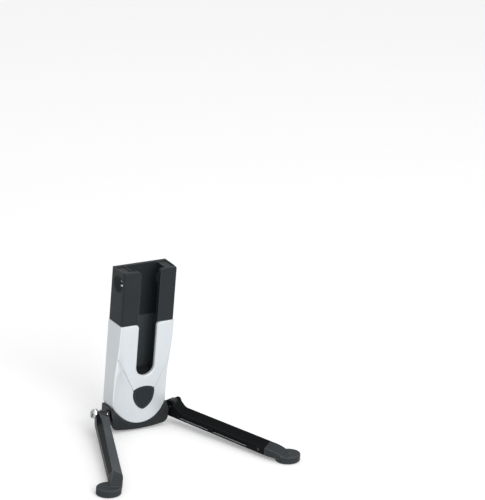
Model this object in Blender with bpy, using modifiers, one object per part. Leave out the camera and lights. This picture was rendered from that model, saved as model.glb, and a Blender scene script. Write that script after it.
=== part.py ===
"""Folding pocket stand: a slotted clamp body on a hinge base with two splayed legs and a heel.

Metres, +Z up.  The origin lies on the ground under the middle of the body.
+Y points from the open front of the channel to the closed back, +X is to the right.
"""

import math

import bmesh
import bpy
from mathutils import Matrix, Vector

# Fits shared by all pieces
GAP = 0.0003
SCREW_CLEARANCE = 0.00015
RUNNING_CLEARANCE = 0.00006
PIECE_EDGE = 0.0005
ROUND_STEPS = 24
SMALL_STEPS = 16

# Silver front shell
BODY_WIDTH = 0.0526
BODY_DEPTH = 0.0236
BODY_TOP = 0.1055
SHOULDER_Z = 0.0255
TONGUE_TIP_Z = 0.0075
TONGUE_POINT = 1.5
SHELL_WALL = 0.0020
SHELL_FLANGE = 0.0025
SHELL_EDGE = 0.0008
SHELF_THICKNESS = 0.0040
FACET_TOP_Z = 0.0738
FACET_SETBACK = 0.0060
SLOT_WIDTH = 0.0190
SLOT_BOTTOM_Z = 0.0550
SLOT_FLARE = 0.0030
POCKET_SIDE_WALL = 0.01475
POCKET_REACH = 0.0100

# Dark liner of the channel and the pad on its floor
SIDE_SPACE = 0.00615
LINER_WALL = 0.0016
LINER_FLOOR = 0.0030
REST_PAD_MARGIN = 0.0004

# Rear cover
COVER_THICKNESS = 0.0016
COVER_BOTTOM_Z = 0.0300
COVER_SCREW_DIAMETER = 0.0025
COVER_SCREW_LENGTH = 0.0080
COVER_SCREW_HEAD = 0.0046
COVER_SCREW_HEAD_HEIGHT = 0.0012
COVER_SCREW_SOCKET = 0.0015
COVER_SCREW_INSET = 0.0080
COVER_BOSS_WALL = 0.0014

# Charcoal clamp block
BLOCK_HEIGHT = 0.0505
BLOCK_INSET = 0.0005
BLOCK_LIP = 0.0040
BLOCK_BACK_WALL = 0.0031
BLOCK_SLOT = 0.0200
BLOCK_SLOT_FLARE = 0.0030
BLOCK_SCREW_DIAMETER = 0.0030
BLOCK_SCREW_HEAD = 0.0050
BLOCK_SCREW_HEAD_HEIGHT = 0.0025
BLOCK_SCREW_SOCKET = 0.0024
BLOCK_SCREW_REACH = 0.0100

# Clamp screws, their threaded inserts and pressure pads
CLAMP_BELOW_TOP = 0.0130
CLAMP_SCREW_DIAMETER = 0.0060
CLAMP_SCREW_LENGTH = 0.0052
CLAMP_SOCKET = 0.0030
CLAMP_SOCKET_DEPTH = 0.0026
PAD_STANDOFF = 0.0020
CLAMP_BACK_OFF = 0.0020
INSERT_DIAMETER = 0.0090
INSERT_LENGTH = 0.0022
PRESSURE_PAD_DIAMETER = 0.0100
PRESSURE_PAD_THICKNESS = 0.0025
DISH_DIAMETER = 0.0164
DISH_DEPTH = 0.0030

# Badge
BADGE_WIDTH = 0.0230
BADGE_HEIGHT = 0.0224
BADGE_SHOULDER_Z = 0.0416
BADGE_CROWN = 0.0029
BADGE_BULGE = 0.0036
BADGE_THICKNESS = 0.0028
BADGE_PROUD = 0.0006

# Hinge base and heel pad
BASE_OVERHANG = 0.0015
BASE_UNDERSIDE_Z = 0.0030
BASE_FRONT_SETBACK = 0.0012
BASE_CORNER = 0.0090
BASE_SCREW_INSET = 0.00975
BASE_SCREW_DIAMETER = 0.0030
BASE_SCREW_HEAD = 0.0050
BASE_SCREW_HEAD_HEIGHT = 0.0026
BASE_SCREW_SOCKET = 0.0024
BASE_SCREW_SINK = 0.0006
HEEL_WIDTH = 0.0220
HEEL_DEPTH = 0.0140
HEEL_SETBACK = 0.0060
HEEL_PLUG_DIAMETER = 0.0060
HEEL_PLUG_HEIGHT = 0.0025

# Leg hinges
PIVOT_OUTSET = 0.0092
PIVOT_Y = -0.0061
PIVOT_Z = 0.0200
LUG_WIDTH = 0.0054
LUG_RADIUS = 0.0045
LUG_TAIL = 0.0130
ARM_START = 0.0070
ARM_REACH = 0.0130
ARM_RISE = 0.0040
ARM_DROP = 0.0110
PIN_DIAMETER = 0.0050
PIN_HEAD_DIAMETER = 0.0110
PIN_HEAD_HEIGHT = 0.0050
PIVOT_NUT_DIAMETER = 0.0084
PIVOT_NUT_HEIGHT = 0.0015
WASHER_THICKNESS = 0.0005
WASHER_DIAMETER = 0.0088
WASHER_GAP = 0.00015

# Legs
LEG_SPLAY = math.radians(23.1)
LEG_SLOPE = math.radians(2.2)
LEG_LENGTH = 0.1052
LEG_WIDTH = 0.0124
LEG_HEIGHT = 0.0110
LEG_DROP = 0.0066
RIDGE_OFFSET = 0.0020
RIDGE_OUTER_FALL = 0.0045
RIDGE_INNER_FALL = 0.0040
FORK_REACH = 0.0075
POCKET_START = 0.0110
POCKET_END = 0.0885
POCKET_WEB = 0.0040
POCKET_SPLIT = 0.0470
POCKET_DEPTH = 0.0040
POCKET_TOP_WALL = 0.0052
POCKET_BOTTOM_WALL = 0.0014
FOOT_TENON_LENGTH = 0.0120
FOOT_TENON_WIDTH = 0.0070
FOOT_TENON_HEIGHT = 0.0040
FOOT_TENON_DROP = 0.0010
RIVET_DIAMETER = 0.0026
RIVET_FROM_END = 0.0045
RIVET_SINK = 0.0002

# Rubber feet
FOOT_DIAMETER = 0.0230
FOOT_THICKNESS = 0.0070
FOOT_REACH = 0.0183
FOOT_OFFSET = 0.0076
FOOT_EDGE = 0.0012
FOOT_NECK_DIAMETER = 0.0120
FOOT_NECK_REACH = 0.0095
FOOT_NECK_OFFSET = 0.0022
FOOT_NECK_RISE = 0.0010

# Places that follow from the sizes above
HALF_WIDTH = BODY_WIDTH / 2
FRONT_Y = -BODY_DEPTH / 2
BACK_Y = BODY_DEPTH / 2
INNER_HALF = HALF_WIDTH - SHELL_WALL
FRONT_INNER_Y = FRONT_Y + SHELL_WALL
COVER_INNER_Y = BACK_Y - COVER_THICKNESS
COVER_SEAT_Y = COVER_INNER_Y - GAP
LINER_OUTER_HALF = INNER_HALF - SIDE_SPACE
CHANNEL_HALF = LINER_OUTER_HALF - LINER_WALL
LINER_BACK_Y = COVER_SEAT_Y
CHANNEL_BACK_Y = LINER_BACK_Y - LINER_WALL
CAVITY_TOP = BODY_TOP - SHELL_FLANGE
REST_PAD_TOP = SLOT_BOTTOM_Z
LINER_BOTTOM = SLOT_BOTTOM_Z - 2 * LINER_FLOOR
SIDE_SPACE_X = (LINER_OUTER_HALF + INNER_HALF) / 2
COVER_SCREW_LOW_Z = COVER_BOTTOM_Z + COVER_SCREW_INSET
COVER_SCREW_HIGH_Z = CAVITY_TOP - COVER_SCREW_INSET
BLOCK_BOTTOM = BODY_TOP + GAP
BLOCK_TOP = BLOCK_BOTTOM + BLOCK_HEIGHT
BLOCK_HALF = HALF_WIDTH - BLOCK_INSET
BLOCK_FRONT_Y = FRONT_Y + BLOCK_INSET
BLOCK_BACK_Y = BACK_Y - BLOCK_INSET
CLAMP_Z = BLOCK_TOP - CLAMP_BELOW_TOP
PAD_FACE_X = CHANNEL_HALF - PAD_STANDOFF
PAD_BACK_X = PAD_FACE_X + PRESSURE_PAD_THICKNESS
PAD_POCKET_X = PAD_BACK_X + CLAMP_BACK_OFF + GAP
INSERT_INNER_X = PAD_POCKET_X + GAP
INSERT_OUTER_X = INSERT_INNER_X + INSERT_LENGTH
DISH_FLOOR_X = BLOCK_HALF - DISH_DEPTH
BASE_HALF = HALF_WIDTH + BASE_OVERHANG
BASE_SCREW_X = HALF_WIDTH - BASE_SCREW_INSET
PIVOT_X = BASE_HALF + PIVOT_OUTSET
HEEL_TOP = BASE_UNDERSIDE_Z - GAP
HEEL_FRONT_Y = FRONT_Y + HEEL_SETBACK
HEEL_MID_Y = HEEL_FRONT_Y + HEEL_DEPTH / 2
FORK_HALF = LUG_WIDTH / 2 + WASHER_THICKNESS + 2 * WASHER_GAP
LEG_HALF = LEG_WIDTH / 2
EYE_RADIUS = LEG_HEIGHT / 2
LEG_LOW = -LEG_DROP - LEG_HEIGHT / 2
LEG_HIGH = -LEG_DROP + LEG_HEIGHT / 2
TENON_Z = -LEG_DROP - FOOT_TENON_DROP
LEG_END_X = LEG_LENGTH * math.cos(LEG_SLOPE)
SIDES = ((1, "right"), (-1, "left"))


def clear_scene():
    for item in list(bpy.data.objects):
        bpy.data.objects.remove(item, do_unlink=True)


def new_collection(name):
    group = bpy.data.collections.new(name)
    bpy.context.scene.collection.children.link(group)
    return group


clear_scene()
PARTS = new_collection("crank_stand")
CUTTERS = new_collection("crank_stand_cutters")


def principled(name, colour, roughness, metallic):
    material = bpy.data.materials.new(name)
    material.use_nodes = True
    shader = material.node_tree.nodes["Principled BSDF"]
    shader.inputs["Base Color"].default_value = (*colour, 1.0)
    shader.inputs["Roughness"].default_value = roughness
    shader.inputs["Metallic"].default_value = metallic
    return material


SILVER = principled("satin_silver_paint", (0.70, 0.73, 0.75), 0.35, 0.3)
CHARCOAL = principled("charcoal_nylon", (0.045, 0.050, 0.055), 0.55, 0.0)
BLACK = principled("black_nylon", (0.020, 0.022, 0.024), 0.5, 0.0)
LINER_BLACK = principled("liner_black", (0.012, 0.013, 0.014), 0.7, 0.0)
RUBBER = principled("grey_rubber", (0.060, 0.063, 0.066), 0.85, 0.0)
ALUMINIUM = principled("black_anodised_aluminium", (0.012, 0.013, 0.015), 0.38, 0.6)
CHROME = principled("bright_chrome", (0.80, 0.81, 0.82), 0.12, 1.0)
STEEL = principled("zinc_steel", (0.50, 0.50, 0.52), 0.35, 1.0)
BRASS = principled("brass", (0.60, 0.44, 0.16), 0.35, 1.0)
BADGE_GREY = principled("badge_grey", (0.050, 0.054, 0.058), 0.4, 0.0)


def add_piece(name, mesh, material, parent=None):
    item = bpy.data.objects.new(name, mesh)
    PARTS.objects.link(item)
    mesh.materials.clear()
    mesh.materials.append(material)
    item.parent = parent
    mesh.shade_smooth()
    mesh.set_sharp_from_angle(angle=math.radians(30))
    return item


def add_cutter(name, mesh, parent=None):
    item = bpy.data.objects.new(name, mesh)
    CUTTERS.objects.link(item)
    item.parent = parent
    item.hide_render = True
    item.display_type = "WIRE"
    return item


def combine(piece, tool, operation):
    step = piece.modifiers.new(tool.name, "BOOLEAN")
    step.operation = operation
    step.solver = "EXACT"
    step.object = tool


def cut(piece, tool):
    combine(piece, tool, "DIFFERENCE")


def join(piece, tool):
    combine(piece, tool, "UNION")


def bevel_mesh(mesh, width, segments=2, angle=40):
    shape = bmesh.new()
    shape.from_mesh(mesh)
    edges = [e for e in shape.edges if e.is_manifold and e.calc_face_angle() > math.radians(angle)]
    bmesh.ops.bevel(
        shape, geom=edges, offset=width, segments=segments, profile=0.5, affect="EDGES", clamp_overlap=True
    )
    shape.to_mesh(mesh)
    shape.free()
    return mesh


def box_mesh(name, low, high):
    low = Vector(low)
    high = Vector(high)
    size = high - low
    shape = bmesh.new()
    bmesh.ops.create_cube(shape, size=1.0)
    bmesh.ops.scale(shape, vec=size, verts=shape.verts)
    bmesh.ops.translate(shape, vec=(low + high) / 2, verts=shape.verts)
    mesh = bpy.data.meshes.new(name)
    shape.to_mesh(mesh)
    shape.free()
    return mesh


AXIS_TURN = {
    "X": Matrix.Rotation(math.radians(90), 4, "Y"),
    "Y": Matrix.Rotation(math.radians(-90), 4, "X"),
    "Z": Matrix.Identity(4),
}


def rod_mesh(name, axis, start, end, centre, diameter, end_diameter=None, sides=SMALL_STEPS):
    """A rod or cone along axis from start to end, centre giving its place across the axis."""
    if end_diameter is None:
        end_diameter = diameter
    shape = bmesh.new()
    length = abs(end - start)
    bmesh.ops.create_cone(
        shape, cap_ends=True, segments=sides, radius1=diameter / 2, radius2=end_diameter / 2, depth=length
    )
    if end < start:
        bmesh.ops.rotate(shape, cent=(0, 0, 0), matrix=Matrix.Rotation(math.pi, 3, "X"), verts=shape.verts)
    turn = AXIS_TURN[axis]
    middle = turn @ Vector((0, 0, (start + end) / 2))
    bmesh.ops.transform(shape, matrix=Matrix.Translation(Vector(centre) + middle) @ turn, verts=shape.verts)
    mesh = bpy.data.meshes.new(name)
    shape.to_mesh(mesh)
    shape.free()
    return mesh


def outline_mesh(name, points, thickness, placement):
    """A flat outline given a thickness, centred on its plane and set by placement."""
    curve = bpy.data.curves.new(name, "CURVE")
    curve.dimensions = "2D"
    curve.fill_mode = "BOTH"
    curve.extrude = thickness / 2
    spline = curve.splines.new("POLY")
    spline.points.add(len(points) - 1)
    for slot, (x, y) in zip(spline.points, points):
        slot.co = (x, y, 0.0, 1.0)
    spline.use_cyclic_u = True
    holder = bpy.data.objects.new(name, curve)
    CUTTERS.objects.link(holder)
    view = bpy.context.evaluated_depsgraph_get()
    mesh = bpy.data.meshes.new_from_object(holder.evaluated_get(view))
    bpy.data.objects.remove(holder, do_unlink=True)
    shape = bmesh.new()
    shape.from_mesh(mesh)
    bmesh.ops.remove_doubles(shape, verts=shape.verts, dist=0.000002)
    bmesh.ops.dissolve_limit(shape, angle_limit=math.radians(0.5), verts=shape.verts, edges=shape.edges)
    bmesh.ops.transform(shape, matrix=placement, verts=shape.verts)
    bmesh.ops.recalc_face_normals(shape, faces=shape.faces)
    shape.to_mesh(mesh)
    shape.free()
    return mesh


def front_view(y):
    """Placement that stands an outline up so that its plane faces -Y at the given depth."""
    return Matrix.Translation((0, y, 0)) @ Matrix.Rotation(math.radians(90), 4, "X")


def turned_piece(name, profile, material, parent, placement):
    """A turned piece: profile of (radius, height) from its top down, about the Z axis."""
    mesh = bpy.data.meshes.new(name)
    shape = bmesh.new()
    verts = [shape.verts.new((radius, 0.0, height)) for radius, height in profile]
    for a, b in zip(verts, verts[1:]):
        shape.edges.new((a, b))
    shape.to_mesh(mesh)
    shape.free()
    item = bpy.data.objects.new(name, mesh)
    PARTS.objects.link(item)
    mesh.materials.append(material)
    turn = item.modifiers.new("turn", "SCREW")
    turn.axis = "Z"
    turn.steps = SMALL_STEPS
    turn.render_steps = SMALL_STEPS
    turn.use_merge_vertices = True
    turn.merge_threshold = 0.000005
    turn.use_smooth_shade = True
    item.parent = parent
    item.matrix_local = placement
    return item


def tongue_outline(margin):
    """Front outline of the shell, grown by margin: square top and a tongue that narrows to its tip."""
    half = HALF_WIDTH + margin
    drop = SHOULDER_Z - TONGUE_TIP_Z + margin
    points = [(half, BODY_TOP + margin), (-half, BODY_TOP + margin)]
    steps = ROUND_STEPS
    for i in range(steps + 1):
        angle = math.pi + math.pi * i / steps
        depth = abs(math.sin(angle)) ** TONGUE_POINT
        points.append((half * math.cos(angle), SHOULDER_Z - drop * depth))
    return points


def slot_outline(width, bottom, top, flare, round_bottom):
    """A slot open at its top, whose mouth flares out with a radius."""
    half = width / 2
    steps = ROUND_STEPS // 3
    right = []
    for i in range(steps + 1):
        angle = math.pi / 2 + math.pi / 2 * i / steps
        right.append((half + flare + flare * math.cos(angle), top - flare + flare * math.sin(angle)))
    points = [(half + flare, top + flare)] + right
    if round_bottom:
        for i in range(1, 2 * steps):
            angle = -math.pi * i / (2 * steps)
            points.append((half * math.cos(angle), bottom + half + half * math.sin(angle)))
    else:
        points.append((half, bottom))
        points.append((-half, bottom))
    points += [(-x, z) for x, z in reversed(right)]
    points.append((-half - flare, top + flare))
    return points


def bulged_side(start, end, bulge, steps):
    """Points from start towards end along an arc that stands out by bulge."""
    start = Vector(start)
    end = Vector(end)
    along = end - start
    out = Vector((along.y, -along.x)).normalized()
    points = []
    for i in range(steps):
        share = i / steps
        points.append(tuple(start + along * share + out * bulge * math.sin(math.pi * share)))
    return points


def badge_outline(margin):
    """A shield with a crowned top and two full sides that meet in a point."""
    half = BADGE_WIDTH / 2 - BADGE_BULGE / 3
    tip = BADGE_SHOULDER_Z + BADGE_CROWN - BADGE_HEIGHT
    left = (-half, BADGE_SHOULDER_Z)
    right = (half, BADGE_SHOULDER_Z)
    point = (0.0, tip)
    steps = ROUND_STEPS // 3
    outline = bulged_side(left, point, BADGE_BULGE, steps)
    outline += bulged_side(point, right, BADGE_BULGE, steps)
    outline += bulged_side(right, left, BADGE_CROWN, steps)
    middle_z = (BADGE_SHOULDER_Z + tip) / 2
    grow = 1 + 2 * margin / BADGE_WIDTH
    return [(x * grow, middle_z + (z - middle_z) * grow) for x, z in outline]


def box_piece(name, low, high, material, edge=0.0, parent=None):
    mesh = box_mesh(name, low, high)
    if edge:
        bevel_mesh(mesh, edge)
    return add_piece(name, mesh, material, parent)


def box_cutter(name, low, high, parent=None):
    return add_cutter(name, box_mesh(name, low, high), parent)


def rod_cutter(name, axis, start, end, centre, diameter, end_diameter=None, parent=None):
    return add_cutter(name, rod_mesh(name, axis, start, end, centre, diameter, end_diameter), parent)


def cap_screw(name, axis_start, axis_end, centre, axis, shank, head, head_height, material, socket):
    """A screw with a round head at axis_start and its shank ending at axis_end."""
    way = 1 if axis_end > axis_start else -1
    under_head = axis_start + way * head_height
    piece = add_piece(name, rod_mesh(name, axis, axis_start, under_head, centre, head), material)
    shank_start = under_head - way * head_height / 2
    join(piece, rod_cutter(name + "_shank", axis, shank_start, axis_end, centre, shank))
    socket_start = axis_start - way * head_height
    socket_end = axis_start + way * head_height / 2
    hollow = rod_mesh(name + "_socket", axis, socket_start, socket_end, centre, socket, sides=6)
    cut(piece, add_cutter(name + "_socket", hollow))
    return piece


# Front shell: painted moulding with a tall slot, a faceted front and a rounded tongue
shell_mesh = outline_mesh("front_shell", tongue_outline(0.0), BODY_DEPTH, front_view(0.0))
bevel_mesh(shell_mesh, SHELL_EDGE, segments=2, angle=50)
front_shell = add_piece("front_shell", shell_mesh, SILVER)
for side, label in SIDES:
    high = Vector((side * HALF_WIDTH, FRONT_Y, FACET_TOP_Z))
    middle = Vector((side * BADGE_WIDTH / 2, FRONT_Y, BADGE_SHOULDER_Z))
    low = Vector((side * HALF_WIDTH, FRONT_Y + FACET_SETBACK, SHOULDER_Z))
    outward = (middle - high).cross(low - high).normalized()
    if outward.y > 0:
        outward = -outward
    facet = box_cutter("facet_" + label, (-BODY_TOP, -BODY_TOP, 0), (BODY_TOP, BODY_TOP, BODY_TOP))
    facet.matrix_world = Matrix.Translation(middle) @ outward.to_track_quat("Z", "Y").to_matrix().to_4x4()
    cut(front_shell, facet)
slot_points = slot_outline(SLOT_WIDTH, SLOT_BOTTOM_Z, BODY_TOP, SLOT_FLARE, True)
slot_mesh = outline_mesh("front_slot", slot_points, 4 * SHELL_WALL, front_view(FRONT_Y))
cut(front_shell, add_cutter("front_slot", slot_mesh))
cut(
    front_shell,
    box_cutter(
        "shell_cavity",
        (-LINER_OUTER_HALF - GAP, FRONT_INNER_Y, LINER_BOTTOM - GAP),
        (LINER_OUTER_HALF + GAP, BACK_Y + SHELL_WALL, CAVITY_TOP),
    ),
)
cut(
    front_shell,
    box_cutter(
        "side_cavity",
        (-INNER_HALF, FRONT_Y + FACET_SETBACK, LINER_BOTTOM - GAP),
        (INNER_HALF, BACK_Y + SHELL_WALL, CAVITY_TOP),
    ),
)
cut(
    front_shell,
    box_cutter(
        "channel_mouth",
        (-LINER_OUTER_HALF - GAP, FRONT_INNER_Y, CAVITY_TOP - SHELL_WALL),
        (LINER_OUTER_HALF + GAP, BACK_Y + SHELL_WALL, BODY_TOP + SHELL_WALL),
    ),
)
cut(
    front_shell,
    box_cutter(
        "cover_seat",
        (-INNER_HALF, COVER_SEAT_Y, COVER_BOTTOM_Z - GAP),
        (INNER_HALF, BACK_Y + SHELL_WALL, CAVITY_TOP),
    ),
)
cut(
    front_shell,
    box_cutter(
        "weight_pocket",
        (-HALF_WIDTH + POCKET_SIDE_WALL, COVER_SEAT_Y - POCKET_REACH, COVER_BOTTOM_Z + GAP),
        (HALF_WIDTH - POCKET_SIDE_WALL, BACK_Y, LINER_BOTTOM - SHELF_THICKNESS),
    ),
)
badge_back_y = FRONT_Y - BADGE_PROUD + BADGE_THICKNESS
pocket_front_y = FRONT_Y - SHELL_WALL
pocket_back_y = badge_back_y + GAP
pocket_view = front_view((pocket_front_y + pocket_back_y) / 2)
pocket_mesh = outline_mesh("badge_pocket", badge_outline(GAP), pocket_back_y - pocket_front_y, pocket_view)
cut(front_shell, add_cutter("badge_pocket", pocket_mesh))

# Badge: a plain grey shield let into the shell
badge_mid_y = badge_back_y - BADGE_THICKNESS / 2
badge_mesh = outline_mesh("badge", badge_outline(0.0), BADGE_THICKNESS, front_view(badge_mid_y))
badge = add_piece("badge", badge_mesh, BADGE_GREY)

# Channel liner: black tray behind the slot
liner = box_piece(
    "channel_liner",
    (-LINER_OUTER_HALF, FRONT_INNER_Y + GAP, LINER_BOTTOM),
    (LINER_OUTER_HALF, LINER_BACK_Y, BODY_TOP),
    LINER_BLACK,
)
cut(
    liner,
    box_cutter(
        "liner_inside",
        (-CHANNEL_HALF, FRONT_Y, LINER_BOTTOM + LINER_FLOOR),
        (CHANNEL_HALF, CHANNEL_BACK_Y, BODY_TOP + LINER_WALL),
    ),
)

# Rest pad: soft stop on the liner's floor
rest_pad = box_piece(
    "crank_rest_pad",
    (-CHANNEL_HALF + REST_PAD_MARGIN, FRONT_INNER_Y + GAP, LINER_BOTTOM + LINER_FLOOR + GAP),
    (CHANNEL_HALF - REST_PAD_MARGIN, CHANNEL_BACK_Y - REST_PAD_MARGIN, REST_PAD_TOP),
    RUBBER,
    edge=PIECE_EDGE,
)

# Rear cover: plate let into the back of the shell
cover = box_piece(
    "rear_cover",
    (-INNER_HALF + GAP, COVER_INNER_Y, COVER_BOTTOM_Z),
    (INNER_HALF - GAP, BACK_Y, CAVITY_TOP - GAP),
    SILVER,
)
for side, label in SIDES:
    for level, height in (("low", COVER_SCREW_LOW_Z), ("high", COVER_SCREW_HIGH_Z)):
        centre = (side * SIDE_SPACE_X, 0, height)
        tag = level + "_" + label
        hole = COVER_SCREW_DIAMETER + 2 * SCREW_CLEARANCE
        screw_tip = BACK_Y + GAP + COVER_SCREW_HEAD_HEIGHT - COVER_SCREW_LENGTH
        if level == "high":
            boss = hole + 2 * COVER_BOSS_WALL
            join(front_shell, rod_cutter("boss_" + tag, "Y", FRONT_INNER_Y, COVER_SEAT_Y, centre, boss))
        cut(front_shell, rod_cutter("boss_hole_" + tag, "Y", screw_tip - GAP, BACK_Y, centre, hole))
        cut(cover, rod_cutter("cover_hole_" + tag, "Y", COVER_SEAT_Y, BACK_Y + GAP, centre, hole))
        cap_screw(
            "cover_screw_" + tag,
            BACK_Y + GAP + COVER_SCREW_HEAD_HEIGHT,
            screw_tip,
            centre,
            "Y",
            COVER_SCREW_DIAMETER,
            COVER_SCREW_HEAD,
            COVER_SCREW_HEAD_HEIGHT,
            STEEL,
            COVER_SCREW_SOCKET,
        )

# Clamp block: C-shaped block on top of the shell
block = box_piece(
    "clamp_block",
    (-BLOCK_HALF, BLOCK_FRONT_Y, BLOCK_BOTTOM),
    (BLOCK_HALF, BLOCK_BACK_Y, BLOCK_TOP),
    CHARCOAL,
    edge=PIECE_EDGE,
)
cut(
    block,
    box_cutter(
        "block_channel",
        (-CHANNEL_HALF, BLOCK_FRONT_Y + BLOCK_LIP, BODY_TOP - BLOCK_LIP),
        (CHANNEL_HALF, BLOCK_BACK_Y - BLOCK_BACK_WALL, BLOCK_TOP + BLOCK_LIP),
    ),
)
block_slot = slot_outline(BLOCK_SLOT, BODY_TOP - BLOCK_LIP, BLOCK_TOP, BLOCK_SLOT_FLARE, False)
block_slot_mesh = outline_mesh("block_slot", block_slot, 3 * BLOCK_LIP, front_view(BLOCK_FRONT_Y))
cut(block, add_cutter("block_slot", block_slot_mesh))

# Screws that pull the block down on the shell's top flanges
for side, label in SIDES:
    centre = (side * SIDE_SPACE_X, 0, 0)
    hole = BLOCK_SCREW_DIAMETER + 2 * SCREW_CLEARANCE
    head_bottom = CAVITY_TOP - GAP - BLOCK_SCREW_HEAD_HEIGHT
    screw_top = BLOCK_BOTTOM + BLOCK_SCREW_REACH
    below_flange = CAVITY_TOP - SHELL_FLANGE
    above_flange = BODY_TOP + SHELL_FLANGE
    cut(front_shell, rod_cutter("flange_hole_" + label, "Z", below_flange, above_flange, centre, hole))
    cut(block, rod_cutter("block_hole_" + label, "Z", CAVITY_TOP, screw_top + GAP, centre, hole))
    cap_screw(
        "block_screw_" + label,
        head_bottom,
        screw_top,
        centre,
        "Z",
        BLOCK_SCREW_DIAMETER,
        BLOCK_SCREW_HEAD,
        BLOCK_SCREW_HEAD_HEIGHT,
        STEEL,
        BLOCK_SCREW_SOCKET,
    )

# Clamp screws: each turns in a brass insert and drives a pressure pad into the channel
for side, label in SIDES:
    centre = (0, 0, CLAMP_Z)
    insert_bore = INSERT_DIAMETER + 2 * SCREW_CLEARANCE
    pad_bore = PRESSURE_PAD_DIAMETER + 2 * GAP
    insert_end = side * INSERT_OUTER_X
    bore_end = side * (INSERT_OUTER_X + GAP)
    cut(block, rod_cutter("insert_bore_" + label, "X", side * CHANNEL_HALF, bore_end, centre, insert_bore))
    pad_start = side * (CHANNEL_HALF - BLOCK_LIP)
    pad_end = side * PAD_POCKET_X
    cut(block, rod_cutter("pad_bore_" + label, "X", pad_start, pad_end, centre, pad_bore))
    screw_hole = CLAMP_SCREW_DIAMETER + 2 * GAP
    hole_end = side * (DISH_FLOOR_X + GAP)
    cut(block, rod_cutter("screw_hole_" + label, "X", insert_end, hole_end, centre, screw_hole))
    dish_floor = screw_hole + 2 * GAP
    dish_start = side * DISH_FLOOR_X
    dish_end = side * (BLOCK_HALF + GAP)
    dish = rod_cutter("dish_" + label, "X", dish_start, dish_end, centre, dish_floor, DISH_DIAMETER)
    cut(block, dish)
    insert_name = "clamp_insert_" + label
    insert_mesh = rod_mesh(insert_name, "X", side * INSERT_INNER_X, insert_end, centre, INSERT_DIAMETER)
    insert = add_piece(insert_name, insert_mesh, BRASS)
    thread_bore = CLAMP_SCREW_DIAMETER + 2 * RUNNING_CLEARANCE
    thread_bore /= math.cos(math.pi / SMALL_STEPS)
    thread_end = side * (INSERT_OUTER_X + GAP)
    cut(insert, rod_cutter("thread_" + label, "X", pad_end, thread_end, centre, thread_bore))
    pivot = bpy.data.objects.new("clamp_axis_" + label, None)
    pivot.location = centre
    PARTS.objects.link(pivot)
    screw_inner = PAD_BACK_X + GAP
    screw_outer = screw_inner + CLAMP_SCREW_LENGTH
    screw_name = "clamp_screw_" + label
    axis_centre = (0, 0, 0)
    screw_start = side * screw_inner
    screw_end = side * screw_outer
    screw_mesh = rod_mesh(screw_name, "X", screw_start, screw_end, axis_centre, CLAMP_SCREW_DIAMETER)
    clamp_screw = add_piece(screw_name, screw_mesh, CHROME, pivot)
    socket_mesh = rod_mesh(
        "socket_" + label,
        "X",
        side * (screw_outer - CLAMP_SOCKET_DEPTH),
        side * (screw_outer + CLAMP_SOCKET_DEPTH),
        axis_centre,
        CLAMP_SOCKET / math.cos(math.pi / 6),
        sides=6,
    )
    cut(clamp_screw, add_cutter("socket_" + label, socket_mesh, pivot))
    pad_name = "pressure_pad_" + label
    pad_front = side * PAD_FACE_X
    pad_back = side * PAD_BACK_X
    pad_mesh = rod_mesh(pad_name, "X", pad_front, pad_back, axis_centre, PRESSURE_PAD_DIAMETER)
    bevel_mesh(pad_mesh, PIECE_EDGE, segments=1, angle=60)
    add_piece(pad_name, pad_mesh, RUBBER, pivot)

def lug_outline():
    """Side outline of a lug: a bar from inside its arm with a round end about the pivot."""
    tail = -(LUG_TAIL + ARM_START) / 2
    points = [(tail, LUG_RADIUS), (tail, -LUG_RADIUS)]
    steps = SMALL_STEPS // 2
    for i in range(steps + 1):
        angle = math.pi * (i / steps - 0.5)
        points.append((LUG_RADIUS * math.cos(angle), LUG_RADIUS * math.sin(angle)))
    return points


# Hinge base: black cradle under the tongue with an arm and a lug for each leg
base_mesh = box_mesh(
    "hinge_base",
    (-BASE_HALF, FRONT_Y + BASE_FRONT_SETBACK, BASE_UNDERSIDE_Z),
    (BASE_HALF, BACK_Y, SHOULDER_Z - GAP),
)
base_shape = bmesh.new()
base_shape.from_mesh(base_mesh)
lower_corners = [
    e
    for e in base_shape.edges
    if all(v.co.z < SHOULDER_Z / 2 for v in e.verts) and abs(e.verts[0].co.x - e.verts[1].co.x) < GAP
]
bmesh.ops.bevel(base_shape, geom=lower_corners, offset=BASE_CORNER, segments=5, profile=0.5, affect="EDGES")
base_shape.to_mesh(base_mesh)
base_shape.free()
base = add_piece("hinge_base", base_mesh, BLACK)

pivots = {}
for side, label in SIDES:
    pivot = bpy.data.objects.new("leg_pivot_" + label, None)
    pivot.location = (side * PIVOT_X, PIVOT_Y, PIVOT_Z)
    pivot.rotation_euler = (0, 0, -math.pi / 2 + side * LEG_SPLAY)
    PARTS.objects.link(pivot)
    pivots[label] = pivot
    arm_inner = -side * ARM_REACH
    arm_outer = side * (LUG_WIDTH / 2 - GAP)
    arm = box_cutter(
        "arm_" + label,
        (-LUG_TAIL, min(arm_inner, arm_outer), -ARM_DROP),
        (-ARM_START, max(arm_inner, arm_outer), ARM_RISE),
        pivot,
    )
    join(base, arm)
    lug_mesh = outline_mesh("lug_" + label, lug_outline(), LUG_WIDTH, front_view(0.0))
    join(base, add_cutter("lug_" + label, lug_mesh, pivot))
    pin_hole = (PIN_DIAMETER + 2 * RUNNING_CLEARANCE) / math.cos(math.pi / SMALL_STEPS)
    hole_mesh = rod_mesh("lug_hole_" + label, "Y", -LUG_WIDTH, LUG_WIDTH, (0, 0, 0), pin_hole)
    cut(base, add_cutter("lug_hole_" + label, hole_mesh, pivot))
seat_mesh = outline_mesh("tongue_seat", tongue_outline(GAP), 2 * BODY_DEPTH, front_view(0.0))
cut(base, add_cutter("tongue_seat", seat_mesh))

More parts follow.
